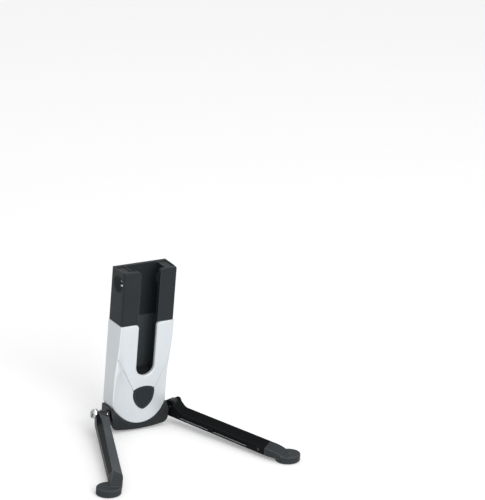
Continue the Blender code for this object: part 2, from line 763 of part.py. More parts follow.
# Screws up through the base into the shell
for side, label in SIDES:
    centre = (side * BASE_SCREW_X, 0, 0)
    hole = BASE_SCREW_DIAMETER + 2 * SCREW_CLEARANCE
    head_start = BASE_UNDERSIDE_Z + BASE_SCREW_SINK
    head_end = head_start + BASE_SCREW_HEAD_HEIGHT
    screw_end = SHOULDER_Z - GAP
    bore_head = BASE_SCREW_HEAD + 2 * GAP
    cut(base, rod_cutter("head_bore_" + label, "Z", 0, head_end + GAP, centre, bore_head))
    cut(base, rod_cutter("base_hole_" + label, "Z", head_start, SHOULDER_Z, centre, hole))
    cut(front_shell, rod_cutter("shell_hole_" + label, "Z", 0, screw_end + GAP, centre, hole))
    cap_screw(
        "base_screw_" + label,
        head_start,
        screw_end,
        centre,
        "Z",
        BASE_SCREW_DIAMETER,
        BASE_SCREW_HEAD,
        BASE_SCREW_HEAD_HEIGHT,
        STEEL,
        BASE_SCREW_SOCKET,
    )

# Heel pad: rubber sole under the base, held by a plug
heel_centre = (0, HEEL_MID_Y, 0)
heel = box_piece(
    "heel_pad",
    (-HEEL_WIDTH / 2, HEEL_FRONT_Y, 0),
    (HEEL_WIDTH / 2, HEEL_FRONT_Y + HEEL_DEPTH, HEEL_TOP),
    RUBBER,
    edge=PIECE_EDGE,
)
plug_top = HEEL_TOP + HEEL_PLUG_HEIGHT
join(heel, rod_cutter("heel_plug", "Z", HEEL_TOP / 2, plug_top, heel_centre, HEEL_PLUG_DIAMETER))
cut(base, rod_cutter("heel_hole", "Z", 0, plug_top + GAP, heel_centre, HEEL_PLUG_DIAMETER + 2 * GAP))


def leg_section(side):
    """Cross-section of a leg: flat below, with a ridge above that lies towards its outer side."""
    return [
        (-side * LEG_HALF, LEG_LOW),
        (side * LEG_HALF, LEG_LOW),
        (side * LEG_HALF, LEG_HIGH - RIDGE_OUTER_FALL),
        (side * RIDGE_OFFSET, LEG_HIGH),
        (-side * LEG_HALF, LEG_HIGH - RIDGE_INNER_FALL),
    ]


def build_leg(side, label):
    pivot = pivots[label]
    slope = bpy.data.objects.new("leg_slope_" + label, None)
    slope.parent = pivot
    slope.rotation_euler = (0, LEG_SLOPE, 0)
    PARTS.objects.link(slope)

    # Leg: anodised bar, forked at its root and lightened on its inner side
    upright = Matrix.Rotation(math.pi / 2, 4, "Z") @ Matrix.Rotation(math.pi / 2, 4, "X")
    along = Matrix.Translation((LEG_LENGTH / 2, 0, 0)) @ upright
    leg_mesh = outline_mesh("leg_" + label, leg_section(side), LEG_LENGTH, along)
    leg = add_piece("leg_" + label, leg_mesh, ALUMINIUM, slope)
    eye_name = "eye_" + label
    eye = 2 * EYE_RADIUS
    eye_mesh = rod_mesh(eye_name, "Y", -LEG_HALF, LEG_HALF, (0, 0, 0), eye, sides=ROUND_STEPS)
    join(leg, add_cutter(eye_name, eye_mesh, slope))
    root_half = LEG_HALF - GAP
    root_mesh = rod_mesh("root_" + label, "Y", -root_half, root_half, (0, 0, -LEG_DROP), eye)
    join(leg, add_cutter("root_" + label, root_mesh, slope))
    fork_low = (-LEG_HEIGHT, -FORK_HALF, LEG_LOW - LEG_HEIGHT)
    fork_high = (FORK_REACH, FORK_HALF, LEG_HEIGHT)
    cut(leg, box_cutter("fork_" + label, fork_low, fork_high, slope))
    pocket_low = LEG_LOW + POCKET_BOTTOM_WALL
    pocket_high = LEG_HIGH - POCKET_TOP_WALL
    inner_face = -side * LEG_WIDTH
    pocket_floor = -side * (LEG_HALF - POCKET_DEPTH)
    spans = (
        ("near", POCKET_START, POCKET_SPLIT - POCKET_WEB / 2),
        ("far", POCKET_SPLIT + POCKET_WEB / 2, POCKET_END),
    )
    for tag, start, end in spans:
        pocket = box_cutter(
            "pocket_" + tag + "_" + label,
            (start, min(inner_face, pocket_floor), pocket_low),
            (end, max(inner_face, pocket_floor), pocket_high),
            slope,
        )
        cut(leg, pocket)
    pin_hole = PIN_DIAMETER + 2 * SCREW_CLEARANCE
    pin_mesh = rod_mesh("pin_hole_" + label, "Y", -LEG_WIDTH, LEG_WIDTH, (0, 0, 0), pin_hole)
    cut(leg, add_cutter("pin_hole_" + label, pin_mesh, slope))
    nut_seat = PIVOT_NUT_DIAMETER + 2 * SCREW_CLEARANCE
    nut_depth = LEG_HALF - PIVOT_NUT_HEIGHT - GAP
    seat_name = "nut_seat_" + label
    seat_mesh = rod_mesh(seat_name, "Y", -side * LEG_WIDTH, -side * nut_depth, (0, 0, 0), nut_seat)
    cut(leg, add_cutter(seat_name, seat_mesh, slope))
    socket_half = FOOT_TENON_WIDTH / 2 + GAP
    socket_rise = FOOT_TENON_HEIGHT / 2 + GAP
    socket_start = LEG_LENGTH - FOOT_TENON_LENGTH - GAP
    cut(
        leg,
        box_cutter(
            "foot_socket_" + label,
            (socket_start, -socket_half, TENON_Z - socket_rise),
            (LEG_LENGTH + LEG_HEIGHT, socket_half, TENON_Z + socket_rise),
            slope,
        ),
    )
    rivet_x = LEG_LENGTH - RIVET_FROM_END
    rivet_hole = RIVET_DIAMETER + 2 * SCREW_CLEARANCE
    rivet_centre = (rivet_x, 0, TENON_Z)
    hole_mesh = rod_mesh("rivet_hole_" + label, "Y", -LEG_WIDTH, LEG_WIDTH, rivet_centre, rivet_hole)
    rivet_cutter = add_cutter("rivet_hole_" + label, hole_mesh, slope)
    cut(leg, rivet_cutter)

    # Foot: rubber boot that turns down from the leg's end to a round sole
    sole_centre = Vector((LEG_END_X + FOOT_REACH, side * FOOT_OFFSET, -PIVOT_Z))
    neck_centre = Vector((LEG_END_X + FOOT_NECK_REACH, side * FOOT_NECK_OFFSET, -PIVOT_Z))
    neck = bmesh.new()
    tilt = Matrix.Rotation(LEG_SLOPE, 4, "Y")
    for y, z in leg_section(side):
        neck.verts.new(tilt @ Vector((LEG_LENGTH + GAP, y, z)))
        neck.verts.new(tilt @ Vector((LEG_LENGTH + GAP + FOOT_EDGE, y, z)))
    for i in range(SMALL_STEPS):
        angle = 2 * math.pi * i / SMALL_STEPS
        ring = Vector((math.cos(angle), math.sin(angle), 0)) * FOOT_NECK_DIAMETER / 2
        neck.verts.new(neck_centre + ring + Vector((0, 0, FOOT_THICKNESS / 2)))
        neck.verts.new(neck_centre + ring + Vector((0, 0, FOOT_THICKNESS + FOOT_NECK_RISE)))
    hull = bmesh.ops.convex_hull(neck, input=neck.verts)
    loose = [v for v in hull["geom_interior"] + hull["geom_unused"] if isinstance(v, bmesh.types.BMVert)]
    bmesh.ops.delete(neck, geom=list(set(loose)), context="VERTS")
    bmesh.ops.recalc_face_normals(neck, faces=neck.faces)
    neck_mesh = bpy.data.meshes.new("foot_" + label)
    neck.to_mesh(neck_mesh)
    neck.free()
    foot = add_piece("foot_" + label, neck_mesh, RUBBER, pivot)
    sole_name = "sole_" + label
    sole_mesh = rod_mesh(sole_name, "Z", 0, FOOT_THICKNESS, sole_centre, FOOT_DIAMETER, sides=ROUND_STEPS)
    bevel_mesh(sole_mesh, FOOT_EDGE, segments=2, angle=60)
    join(foot, add_cutter(sole_name, sole_mesh, pivot))
    tenon = box_cutter(
        "tenon_" + label,
        (LEG_LENGTH - FOOT_TENON_LENGTH, -FOOT_TENON_WIDTH / 2, TENON_Z - FOOT_TENON_HEIGHT / 2),
        (LEG_LENGTH + FOOT_EDGE, FOOT_TENON_WIDTH / 2, TENON_Z + FOOT_TENON_HEIGHT / 2),
        slope,
    )
    join(foot, tenon)
    cut(foot, rivet_cutter)

    # Rivet across the leg and the foot's tenon
    rivet_half = LEG_HALF - RIVET_SINK
    rivet_name = "foot_rivet_" + label
    rivet_mesh = rod_mesh(rivet_name, "Y", -rivet_half, rivet_half, rivet_centre, RIVET_DIAMETER)
    add_piece(rivet_name, rivet_mesh, STEEL, slope)

    # Pivot pin with a domed head on the outer side, a nut in the inner cheek and two washers
    head_start = LEG_HALF + GAP
    dome = []
    steps = ROUND_STEPS // 4
    for i in range(steps + 1):
        angle = math.pi / 2 * (1 - i / steps)
        radius = PIN_HEAD_DIAMETER / 2 * math.cos(angle)
        dome.append((radius, head_start + PIN_HEAD_HEIGHT * math.sin(angle)))
    dome[0] = (0.0, head_start + PIN_HEAD_HEIGHT)
    pin_end = -LEG_HALF + GAP
    profile = dome + [
        (PIN_DIAMETER / 2, head_start),
        (PIN_DIAMETER / 2, pin_end),
        (0.0, pin_end),
    ]
    facing = Matrix.Rotation(-side * math.pi / 2, 4, "X")
    turned_piece("pivot_pin_" + label, profile, CHROME, pivot, facing)
    nut_name = "pivot_nut_" + label
    nut_outer = -side * LEG_HALF
    nut_inner = -side * (LEG_HALF - PIVOT_NUT_HEIGHT)
    nut_mesh = rod_mesh(nut_name, "Y", nut_outer, nut_inner, (0, 0, 0), PIVOT_NUT_DIAMETER)
    nut = add_piece(nut_name, nut_mesh, STEEL, pivot)
    bore_mesh = rod_mesh("nut_bore_" + label, "Y", -LEG_WIDTH, LEG_WIDTH, (0, 0, 0), pin_hole)
    bore_cutter = add_cutter("nut_bore_" + label, bore_mesh, pivot)
    cut(nut, bore_cutter)
    washer_start = LUG_WIDTH / 2 + WASHER_GAP
    washer_end = washer_start + WASHER_THICKNESS
    for tag, way in (("outer", side), ("inner", -side)):
        washer_name = "pivot_washer_" + tag + "_" + label
        near = way * washer_start
        far = way * washer_end
        washer_mesh = rod_mesh(washer_name, "Y", near, far, (0, 0, 0), WASHER_DIAMETER)
        washer = add_piece(washer_name, washer_mesh, STEEL, pivot)
        cut(washer, bore_cutter)


build_leg(1, "right")
build_leg(-1, "left")
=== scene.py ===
import math

import bmesh
import bpy
from mathutils import Matrix, Vector


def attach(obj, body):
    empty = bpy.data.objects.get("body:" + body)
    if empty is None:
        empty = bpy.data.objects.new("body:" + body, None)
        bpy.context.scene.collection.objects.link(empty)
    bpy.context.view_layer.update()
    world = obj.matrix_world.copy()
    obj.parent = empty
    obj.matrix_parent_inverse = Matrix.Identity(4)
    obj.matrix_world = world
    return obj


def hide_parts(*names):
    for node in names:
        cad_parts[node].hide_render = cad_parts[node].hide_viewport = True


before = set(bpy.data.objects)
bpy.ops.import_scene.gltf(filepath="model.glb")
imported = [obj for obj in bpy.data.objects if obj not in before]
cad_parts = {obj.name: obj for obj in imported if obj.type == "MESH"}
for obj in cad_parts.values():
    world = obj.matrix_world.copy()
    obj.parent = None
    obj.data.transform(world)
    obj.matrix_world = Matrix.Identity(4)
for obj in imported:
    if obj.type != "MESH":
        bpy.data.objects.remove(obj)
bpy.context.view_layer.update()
stage_scene = bpy.context.scene

# Studio: a plain pale floor in soft, even light, with more of it from the front, so that the
# stand's front is brighter than its left side.
# The camera stands 3 m off, to the left of the front and above it, and leans a little.


class Wire:
    """One output of a shader node, so that sums over a surface read as sums."""

    def __init__(self, finish, socket):
        self.finish = finish
        self.socket = socket

    def sum(self, operation, first, second):
        return self.finish.add("ShaderNodeMath", {"operation": operation}, {0: first, 1: second})

    def __add__(self, other):
        return self.sum("ADD", self, other)

    def __radd__(self, other):
        return self.sum("ADD", other, self)

    def __sub__(self, other):
        return self.sum("SUBTRACT", self, other)

    def __rsub__(self, other):
        return self.sum("SUBTRACT", other, self)

    def __mul__(self, other):
        return self.sum("MULTIPLY", self, other)

    def __rmul__(self, other):
        return self.sum("MULTIPLY", other, self)

    def __abs__(self):
        return self.finish.add("ShaderNodeMath", {"operation": "ABSOLUTE"}, {0: self})

    def greater(self, other):
        return self.sum("MAXIMUM", self, other)


class Finish:
    """A node tree under construction."""

    def __init__(self, tree):
        self.tree = tree

    def add(self, kind, settings=None, sockets=None, output=0):
        """A new node of the given kind, as the wire from one of its outputs."""
        node = self.tree.nodes.new(kind)
        for key, value in (settings or {}).items():
            if key == "stops":
                ramp = node.color_ramp
                ramp.elements[0].position, ramp.elements[0].color = value[0]
                ramp.elements[1].position, ramp.elements[1].color = value[1]
            else:
                setattr(node, key, value)
        for key, value in (sockets or {}).items():
            self.plug(value, node.inputs[key])
        return Wire(self, node.outputs[output])

    def plug(self, value, socket):
        if isinstance(value, Wire):
            self.tree.links.new(value.socket, socket)
        else:
            socket.default_value = value

    def noise(self, place, scale, detail):
        return self.add("ShaderNodeTexNoise", None, {"Vector": place, "Scale": scale, "Detail": detail})

    def step(self, value, low, high):
        """Nought below low, one above high."""
        stops = [(low, (0, 0, 0, 1)), (high, (1, 1, 1, 1))]
        return self.add("ShaderNodeValToRGB", {"stops": stops}, {"Fac": value})

    def edges(self, radius):
        """One along the edges and corners of a piece, nought on its flats."""
        eased = self.add("ShaderNodeBevel", {"samples": 6}, {"Radius": radius})
        facing = self.add("ShaderNodeNewGeometry", output="Normal")
        return self.step(1 - self.dot(eased, facing), 0.01, 0.16)

    def dot(self, first, second):
        """How far two directions agree: one where they are the same."""
        sockets = {0: first, 1: second}
        return self.add("ShaderNodeVectorMath", {"operation": "DOT_PRODUCT"}, sockets, output="Value")

    def parts(self, vector):
        """The x, y and z of a vector."""
        outputs = self.add("ShaderNodeSeparateXYZ", None, {"Vector": vector}).socket.node.outputs
        return [Wire(self, output) for output in outputs]

    def mix(self, factor, first, second):
        """A colour between first and second, by the Mix node's colour sockets."""
        settings = {"data_type": "RGBA", "clamp_factor": True}
        return self.add("ShaderNodeMix", settings, {0: factor, 6: first, 7: second}, output=2)

    def bump(self, height, strength, depth):
        """The surface's direction where height raises it by up to depth."""
        return self.add("ShaderNodeBump", None, {"Strength": strength, "Distance": depth, "Height": height})

    def seen(self):
        """One for what the camera sees, straight, in a reflection or through glass."""
        rays = self.add("ShaderNodeLightPath").socket.node.outputs
        straight = Wire(self, rays["Is Camera Ray"])
        mirrored = Wire(self, rays["Is Glossy Ray"])
        return straight.greater(mirrored).greater(Wire(self, rays["Is Transmission Ray"]))


def tone(code):
    """A colour as it shows on the screen, in the shader's own linear values."""
    parts = [int(code[i : i + 2], 16) / 255 for i in (1, 3, 5)]
    return tuple(c / 12.92 if c <= 0.04045 else ((c + 0.055) / 1.055) ** 2.4 for c in parts) + (1.0,)


def new_material(name):
    """A material, its node tree, its shader's inputs and its place on the object."""
    material = bpy.data.materials.new(name)
    material.use_nodes = True
    finish = Finish(material.node_tree)
    place = finish.add("ShaderNodeTexCoord", output="Object")
    return material, finish, material.node_tree.nodes["Principled BSDF"].inputs, place


stage_scene.view_settings.view_transform = "Standard"
ROOM_LEVEL = 0.56
world = bpy.data.worlds.new("studio_room")
stage_scene.world = world
world.use_nodes = True
room = Finish(world.node_tree)
background = world.node_tree.nodes["Background"].inputs
background["Color"].default_value = (1.0, 1.0, 1.0, 1.0)
room.plug(room.seen() * (1 - ROOM_LEVEL) + ROOM_LEVEL, background["Strength"])

FLOOR_HALF = 6.0
PAPER_GLOW = (0.2, 0.2, 0.2, 1)
floor_shape = bmesh.new()
bmesh.ops.create_grid(floor_shape, x_segments=1, y_segments=1, size=FLOOR_HALF)
floor_mesh = bpy.data.meshes.new("floor")
floor_shape.to_mesh(floor_mesh)
floor_shape.free()
floor = bpy.data.objects.new("floor", floor_mesh)
stage_scene.collection.objects.link(floor)
floor_paper, paper, paper_in, paper_place = new_material("floor_paper")
paper_in["Roughness"].default_value = 0.9
paper_in["Specular IOR Level"].default_value = 0.1
paper_grain = paper.noise(paper_place, 40.0, 2.0)
paper.plug(paper.mix(paper_grain, (0.95, 0.95, 0.95, 1), (0.97, 0.97, 0.97, 1)), paper_in["Base Color"])
paper.plug(paper.mix(paper.seen(), (0, 0, 0, 1), PAPER_GLOW), paper_in["Emission Color"])
paper_in["Emission Strength"].default_value = 1.0
floor_mesh.materials.append(floor_paper)

LIGHT_AIM = Vector((0.0, -0.03, 0.08))


def soft_light(name, place, size, power):
    """A round soft light aimed at the middle of the stand."""
    light = bpy.data.lights.new(name, "AREA")
    light.shape = "DISK"
    light.size = size
    light.energy = power
    holder = bpy.data.objects.new(name, light)
    holder.location = place
    holder.rotation_euler = (LIGHT_AIM - Vector(place)).to_track_quat("-Z", "Y").to_euler()
    stage_scene.collection.objects.link(holder)


soft_light("front_soft", (-0.1, -2.6, 1.4), 2.2, 41.0)
soft_light("top_soft", (0.4, -0.2, 2.6), 2.2, 12.0)

EYE_TURN = math.radians(33.12)
EYE_HEIGHT = math.radians(20.95)
EYE_LEAN = math.radians(4.73)
EYE_DISTANCE = 3.00208
EYE_TARGET = Vector((0.10292, 0.0010, 0.15803))
IMAGE_HEIGHT = 500
EYE_FOCUS = 3289.09
SENSOR = 36.0
level = Vector((math.cos(EYE_TURN), -math.sin(EYE_TURN), 0.0))
ahead = Vector((math.sin(EYE_TURN), math.cos(EYE_TURN), 0.0))
look = ahead * math.cos(EYE_HEIGHT) - Vector((0.0, 0.0, math.sin(EYE_HEIGHT)))
upright = level.cross(look)
across = math.cos(EYE_LEAN) * level + math.sin(EYE_LEAN) * upright
above = math.cos(EYE_LEAN) * upright - math.sin(EYE_LEAN) * level
lens = bpy.data.cameras.new("camera")
lens.sensor_fit = "VERTICAL"
lens.sensor_height = SENSOR
lens.lens = EYE_FOCUS / IMAGE_HEIGHT * SENSOR
camera = bpy.data.objects.new("camera", lens)
turn = Matrix((across, above, -look)).transposed().to_4x4()
camera.matrix_world = Matrix.Translation(EYE_TARGET - EYE_DISTANCE * look) @ turn
stage_scene.collection.objects.link(camera)
stage_scene.camera = camera

# Hinge base: black glass-filled nylon cradle moulded to the round lower end of the front shell,
# with a stepped rim. Two arms reach out from its corners to the lugs that the legs turn on, and
# two screws from below hold it to the shell.
FRONT_WAY = Vector((0, -1, 0))
# GAP lies between neighbouring pieces, and a cutting tool reaches PAST the piece that it cuts.
GAP = 0.0003
PAST = 0.005
SHELL_HALF = 0.0275
SHELL_TOP = 0.1055
SHELL_SHOULDER = 0.0255
SHELL_TIP = 0.0075
SHELL_POINT = 1.5
SHELL_FRONT = -0.0118
SHELL_BACK = 0.0118


def trace(start, moves, axis=FRONT_WAY):
    """A flat face drawn from start by straight lines and by arcs of (centre, degrees, steps)."""
    shape = bmesh.new()
    pen = shape.verts.new(start)
    for move in moves:
        if len(move) == 1:
            pen = bmesh.ops.extrude_vert_indiv(shape, verts=[pen])["verts"][0]
            pen.co = move[0]
            continue
        centre, degrees, steps = move
        angle = math.radians(degrees)
        made = bmesh.ops.spin(shape, geom=[pen], cent=centre, axis=axis, angle=angle, steps=steps)
        pen = [item for item in made["geom_last"] if isinstance(item, bmesh.types.BMVert)][0]
    bmesh.ops.remove_doubles(shape, verts=shape.verts, dist=0.000001)
    bmesh.ops.contextual_create(shape, geom=shape.edges[:])
    return shape


def moved(shape, place):
    """Shifts a shape by a vector, or turns and shifts it by a matrix."""
    matrix = place if isinstance(place, Matrix) else Matrix.Translation(place)
    bmesh.ops.transform(shape, matrix=matrix, verts=shape.verts)
    return shape


def thicken(shape, way):
    """Gives a flat face its thickness, the full length of way."""
    made = bmesh.ops.extrude_face_region(shape, geom=shape.faces[:])
    far = [item for item in made["geom"] if isinstance(item, bmesh.types.BMVert)]
    bmesh.ops.translate(shape, vec=way, verts=far)
    bmesh.ops.recalc_face_normals(shape, faces=shape.faces)
    return shape


def bar(low, high):
    """A square-edged bar between two corners, given in either order."""
    low, high = Vector(low), Vector(high)
    size = Vector([abs(value) for value in high - low])
    shape = bmesh.new()
    bmesh.ops.create_cube(shape, size=1.0)
    bmesh.ops.scale(shape, vec=size, verts=shape.verts)
    return moved(shape, (low + high) / 2)


def rod(start, end, radius, sides=48):
    """A round rod between two points."""
    start, end = Vector(start), Vector(end)
    shape = bmesh.new()
    length = (end - start).length
    bmesh.ops.create_cone(shape, cap_ends=True, segments=sides, radius1=radius, radius2=radius, depth=length)
    facing = (end - start).to_track_quat("Z", "Y").to_matrix().to_4x4()
    return moved(shape, Matrix.Translation((start + end) / 2) @ facing)


def rounded(shape, edges, width, steps):
    """Rounds the given edges."""
    bmesh.ops.bevel(
        shape,
        geom=edges,
        offset=width,
        segments=steps,
        profile=0.5,
        affect="EDGES",
        material=-1,
        clamp_overlap=True,
    )
    return shape


def loft(rings):
    """A closed body through rings of as many points each, capped at both ends."""
    shape = bmesh.new()
    rows = [[shape.verts.new(point) for point in ring] for ring in rings]
    for row, following in zip(rows, rows[1:]):
        for i in range(len(row)):
            j = (i + 1) % len(row)
            shape.faces.new((row[i], row[j], following[j], following[i]))
    shape.faces.new(rows[0])
    shape.faces.new(rows[-1])
    bmesh.ops.recalc_face_normals(shape, faces=shape.faces)
    return shape


def as_object(name, shape):
    """Turns a shape into an object in the scene."""
    mesh = bpy.data.meshes.new(name)
    shape.to_mesh(mesh)
    shape.free()
    piece = bpy.data.objects.new(name, mesh)
    stage_scene.collection.objects.link(piece)
    return piece


JOIN, CUT = "UNION", "DIFFERENCE"


def carve(shape, *steps):
    """Joins shapes to a shape or cuts them out of it, in turn, and gives the new shape back."""
    body = as_object("work", shape)
    tools = []
    for operation, tool in steps:
        tools.append(as_object("tool", tool))
        step = body.modifiers.new("step", "BOOLEAN")
        step.operation = operation
        step.solver = "EXACT"
        step.object = tools[-1]
    view = bpy.context.evaluated_depsgraph_get()
    result = bmesh.new()
    result.from_mesh(body.evaluated_get(view).to_mesh())
    for item in [body] + tools:
        mesh = item.data
        bpy.data.objects.remove(item, do_unlink=True)
        bpy.data.meshes.remove(mesh)
    bmesh.ops.remove_doubles(result, verts=result.verts, dist=0.000002)
    bmesh.ops.dissolve_limit(result, angle_limit=math.radians(0.2), verts=result.verts, edges=result.edges)
    bmesh.ops.recalc_face_normals(result, faces=result.faces)
    return result


def fit(name, shape, material, body, node, edge=0.0, steps=3, smooth=38):
    """Makes the finished piece: rounded edges, smooth shading, material and its place in the frame."""
    piece = as_object(name, shape)
    piece.data.materials.append(material)
    piece.data.shade_smooth()
    piece.data.set_sharp_from_angle(angle=math.radians(smooth))
    if edge:
        rounding = piece.modifiers.new("rounding", "BEVEL")
        rounding.width = edge
        rounding.segments = steps
        rounding.limit_method = "ANGLE"
        rounding.angle_limit = math.radians(smooth)
        rounding.use_clamp_overlap = True
        rounding.harden_normals = True
    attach(piece, body)
    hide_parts(node)
    return piece


def moulded(name, dark, light, edge, roughness, sheen, scale=900.0, depth=0.00004):
    """Moulded plastic: a fine spark-eroded grain, faint clouding, and edges a little lighter, partly wear,
    partly a painted highlight.
    """
    material, finish, inputs, place = new_material(name)
    cloud = finish.noise(place, 55.0, 5.0)
    fine = finish.noise(place, scale, 3.0)
    rubbing_and_painted_light = finish.step(finish.noise(place, 140.0, 6.0), 0.55, 0.75)
    skin = finish.mix(cloud * 0.7 + fine * 0.3, dark, light)
    # The edges are lighter, partly for wear and partly as a painted highlight.
    finish.plug(finish.mix(finish.edges(0.0007) * 0.55, skin, edge), inputs["Base Color"])
    finish.plug(roughness + (cloud - 0.5) * 0.12 - rubbing_and_painted_light * 0.05, inputs["Roughness"])
    finish.plug(finish.bump(fine, 0.5, depth), inputs["Normal"])
    inputs["Specular IOR Level"].default_value = sheen
    return material


def tongue(grow):
    """The shell's outline seen from the front, grown all round, with its lower end drawn to a tip."""
    half = SHELL_HALF + grow
    top = SHELL_TOP + grow
    drop = SHELL_SHOULDER - SHELL_TIP + grow
    moves = (
        [(-half, 0, top)],
        [(-half, 0, SHELL_SHOULDER)],
        ((0, 0, SHELL_SHOULDER), 180, 64),
        [(half, 0, top)],
    )
    shape = trace((half, 0, top), moves)
    for vert in shape.verts:
        below = (SHELL_SHOULDER - vert.co.z) / half
        if below > 0:
            vert.co.z = SHELL_SHOULDER - drop * min(1.0, below) ** SHELL_POINT
    return shape


BASE_HALF = 0.0284
BASE_LOW = 0.0030
BASE_SAG = 0.0016
BASE_HIGH = 0.0226
BASE_FRONT = -0.0106
BASE_CORNER = 0.0085
BASE_ROUND = 0.0012
CORNER_STEPS = 14
SAG_PITCH = 0.15
FLANGE_HALF = 0.0298
FLANGE_CORNER = 0.0070
FLANGE_DEPTH = 0.0060
RIM_STEP = 0.0009
RIM_DEPTH = 0.0007
SEAT_REACH = 0.025
EAR_FACET = Vector((0.0298, -0.0106, 0.0150))
EAR_FACING = Vector((0.08, -0.85, 0.52))
FACET_REACH = 0.02
PIVOT = Vector((0.0370, -0.0061, 0.0200))
LEG_SPLAY = math.radians(23.1)
LUG_HALF = 0.0027
LUG_RADIUS = 0.0031
LUG_TAIL = -0.0100
LUG_TAIL_HIGH = -0.0018
LUG_TAIL_LOW = -0.0062
LUG_BORE = 0.008
ARM_BACK = -0.013
ARM_FRONT = -0.007
ARM_SIDE = 0.013
ARM_LOW = -0.011
PIN_RADIUS = 0.0018
PIN_PLAY = 0.0001
BASE_SCREW_X = 0.01655
BASE_BORE = 0.0028
BASE_BORE_TOP = 0.0065
HEEL_HALF = 0.0110
HEEL_FRONT = -0.0058
HEEL_BACK = 0.0082
HEEL_TOP = 0.0027


def pivot_frame(side):
    """The leg's own frame at its pivot: x along the leg, y across it, z up."""
    heading = -math.pi / 2 + side * LEG_SPLAY
    return Matrix.Translation((side * PIVOT.x, PIVOT.y, PIVOT.z)) @ Matrix.Rotation(heading, 4, "Z")


def spread(low, high, step):
    """Even steps from low to high, both included."""
    count = max(1, round(abs(high - low) / step))
    return [low + (high - low) * i / count for i in range(count + 1)]


def cradle_ring(half, corner, y):
    """The base's outline seen from the front, with round lower corners."""
    inner, upper = half - corner, BASE_LOW + corner
    ring = [Vector((half, y, BASE_HIGH))]
    for middle, first in ((inner, 0), (-inner, 90)):
        for i in range(CORNER_STEPS + 1):
            angle = math.radians(first + 90 * i / CORNER_STEPS)
            ring.append(Vector((middle + corner * math.cos(angle), y, upper - corner * math.sin(angle))))
        if middle > 0:
            for share in spread(1.0, -1.0, SAG_PITCH)[1:-1]:
                ring.append(Vector((inner * share, y, BASE_LOW - BASE_SAG * (1 - share * share))))
    return ring + [Vector((-half, y, BASE_HIGH))]


cradle = loft(
    [
        cradle_ring(FLANGE_HALF, FLANGE_CORNER, BASE_FRONT),
        cradle_ring(BASE_HALF, BASE_CORNER, BASE_FRONT + FLANGE_DEPTH),
        cradle_ring(BASE_HALF, BASE_CORNER, SHELL_BACK),
    ]
)
front_rim = [e for e in cradle.edges if all(v.co.y < BASE_FRONT + GAP for v in e.verts)]
rounded(cradle, front_rim, BASE_ROUND, 4)
heel_low = (-HEEL_HALF - GAP, HEEL_FRONT - GAP, -PAST)
base_steps = [(CUT, bar(heel_low, (HEEL_HALF + GAP, HEEL_BACK + GAP, HEEL_TOP + GAP)))]
for side in (1, -1):
    facing = Vector((side * EAR_FACING.x, EAR_FACING.y, EAR_FACING.z)).to_track_quat("Z", "Y")
    facet = Matrix.Translation((side * EAR_FACET.x, EAR_FACET.y, EAR_FACET.z)) @ facing.to_matrix().to_4x4()
    ear_cut = bar((-FACET_REACH, -FACET_REACH, 0), (FACET_REACH, FACET_REACH, FACET_REACH))
    base_steps.append((CUT, moved(ear_cut, facet)))
for side in (1, -1):
    at_pivot = pivot_frame(side)
    arm = bar((ARM_BACK, -side * ARM_SIDE, ARM_LOW), (ARM_FRONT, side * (LUG_HALF - GAP), LUG_TAIL_HIGH))
    arm_edges = [e for e in arm.edges if all(v.co.y * side > 0 for v in e.verts)]
    rounded(arm, arm_edges, BASE_ROUND, 3)
    lug = trace(
        (LUG_TAIL, -LUG_HALF, LUG_TAIL_HIGH),
        (
            [(LUG_TAIL, -LUG_HALF, LUG_TAIL_LOW)],
            [(0, -LUG_HALF, -LUG_RADIUS)],
            ((0, -LUG_HALF, 0), 180, 24),
            [(-LUG_RADIUS, -LUG_HALF, LUG_RADIUS)],
            [(LUG_TAIL, -LUG_HALF, LUG_TAIL_HIGH)],
        ),
    )
    thicken(lug, Vector((0, 2 * LUG_HALF, 0)))
    base_steps.append((JOIN, moved(arm, at_pivot)))
    base_steps.append((JOIN, moved(lug, at_pivot)))
    pin_bore = rod((0, -LUG_BORE, 0), (0, LUG_BORE, 0), PIN_RADIUS + PIN_PLAY)
    base_steps.append((CUT, moved(pin_bore, at_pivot)))
    screw_x = side * BASE_SCREW_X
    base_steps.append((CUT, rod((screw_x, 0, -PAST), (screw_x, 0, BASE_BORE_TOP), BASE_BORE)))
seat = moved(thicken(tongue(GAP), Vector((0, 2 * SEAT_REACH, 0))), Vector((0, -SEAT_REACH, 0)))
rim = thicken(tongue(RIM_STEP), Vector((0, 2 * PAST, 0)))
moved(rim, Vector((0, BASE_FRONT + RIM_DEPTH - 2 * PAST, 0)))
cradle = carve(cradle, *base_steps, (CUT, seat), (CUT, rim))
BASE_NYLON = moulded("base_nylon", tone("#191c1e"), tone("#232729"), tone("#53585b"), 0.4, 0.22)
fit("base_cradle", cradle, BASE_NYLON, "stand_body", "hinge_base", edge=0.0003, steps=2)

# Front shell: satin silver painted moulding with a tall slot, shallow V lines down to the badge
# and a round lower end. Its front is crowned, and outside the V lines it falls away to the sides.
# Two screws hold its lower end in the base.
SHELL_WALL = 0.0020
SHELL_CORNER = 0.0011
SLOT_HALF = 0.0095
SLOT_LOW = 0.0550
SLOT_FLARE = 0.0030
SLOT_RING = SLOT_LOW + SLOT_HALF
SLOT_MOUTH = SLOT_HALF + SLOT_FLARE
CAVITY_HALF = 0.01845
CAVITY_LOW = 0.0487
INNER_HALF = 0.0243
CAVITY_TOP = 0.1030
COVER_SEAT = 0.0099
COVER_LOW = 0.0297
V_TOP = 0.0738
V_FOOT = Vector((0.0110, 0.0416))
V_HALF = 0.00042
V_DEPTH = 0.0009
FALL = 0.0060
BADGE_SHOULDER = 0.0416
BADGE_HALF = 0.0103
BADGE_TIP = 0.0221
BADGE_CROWN = 0.0029
BADGE_BULGE = 0.0042
BADGE_SEAT = 0.0025


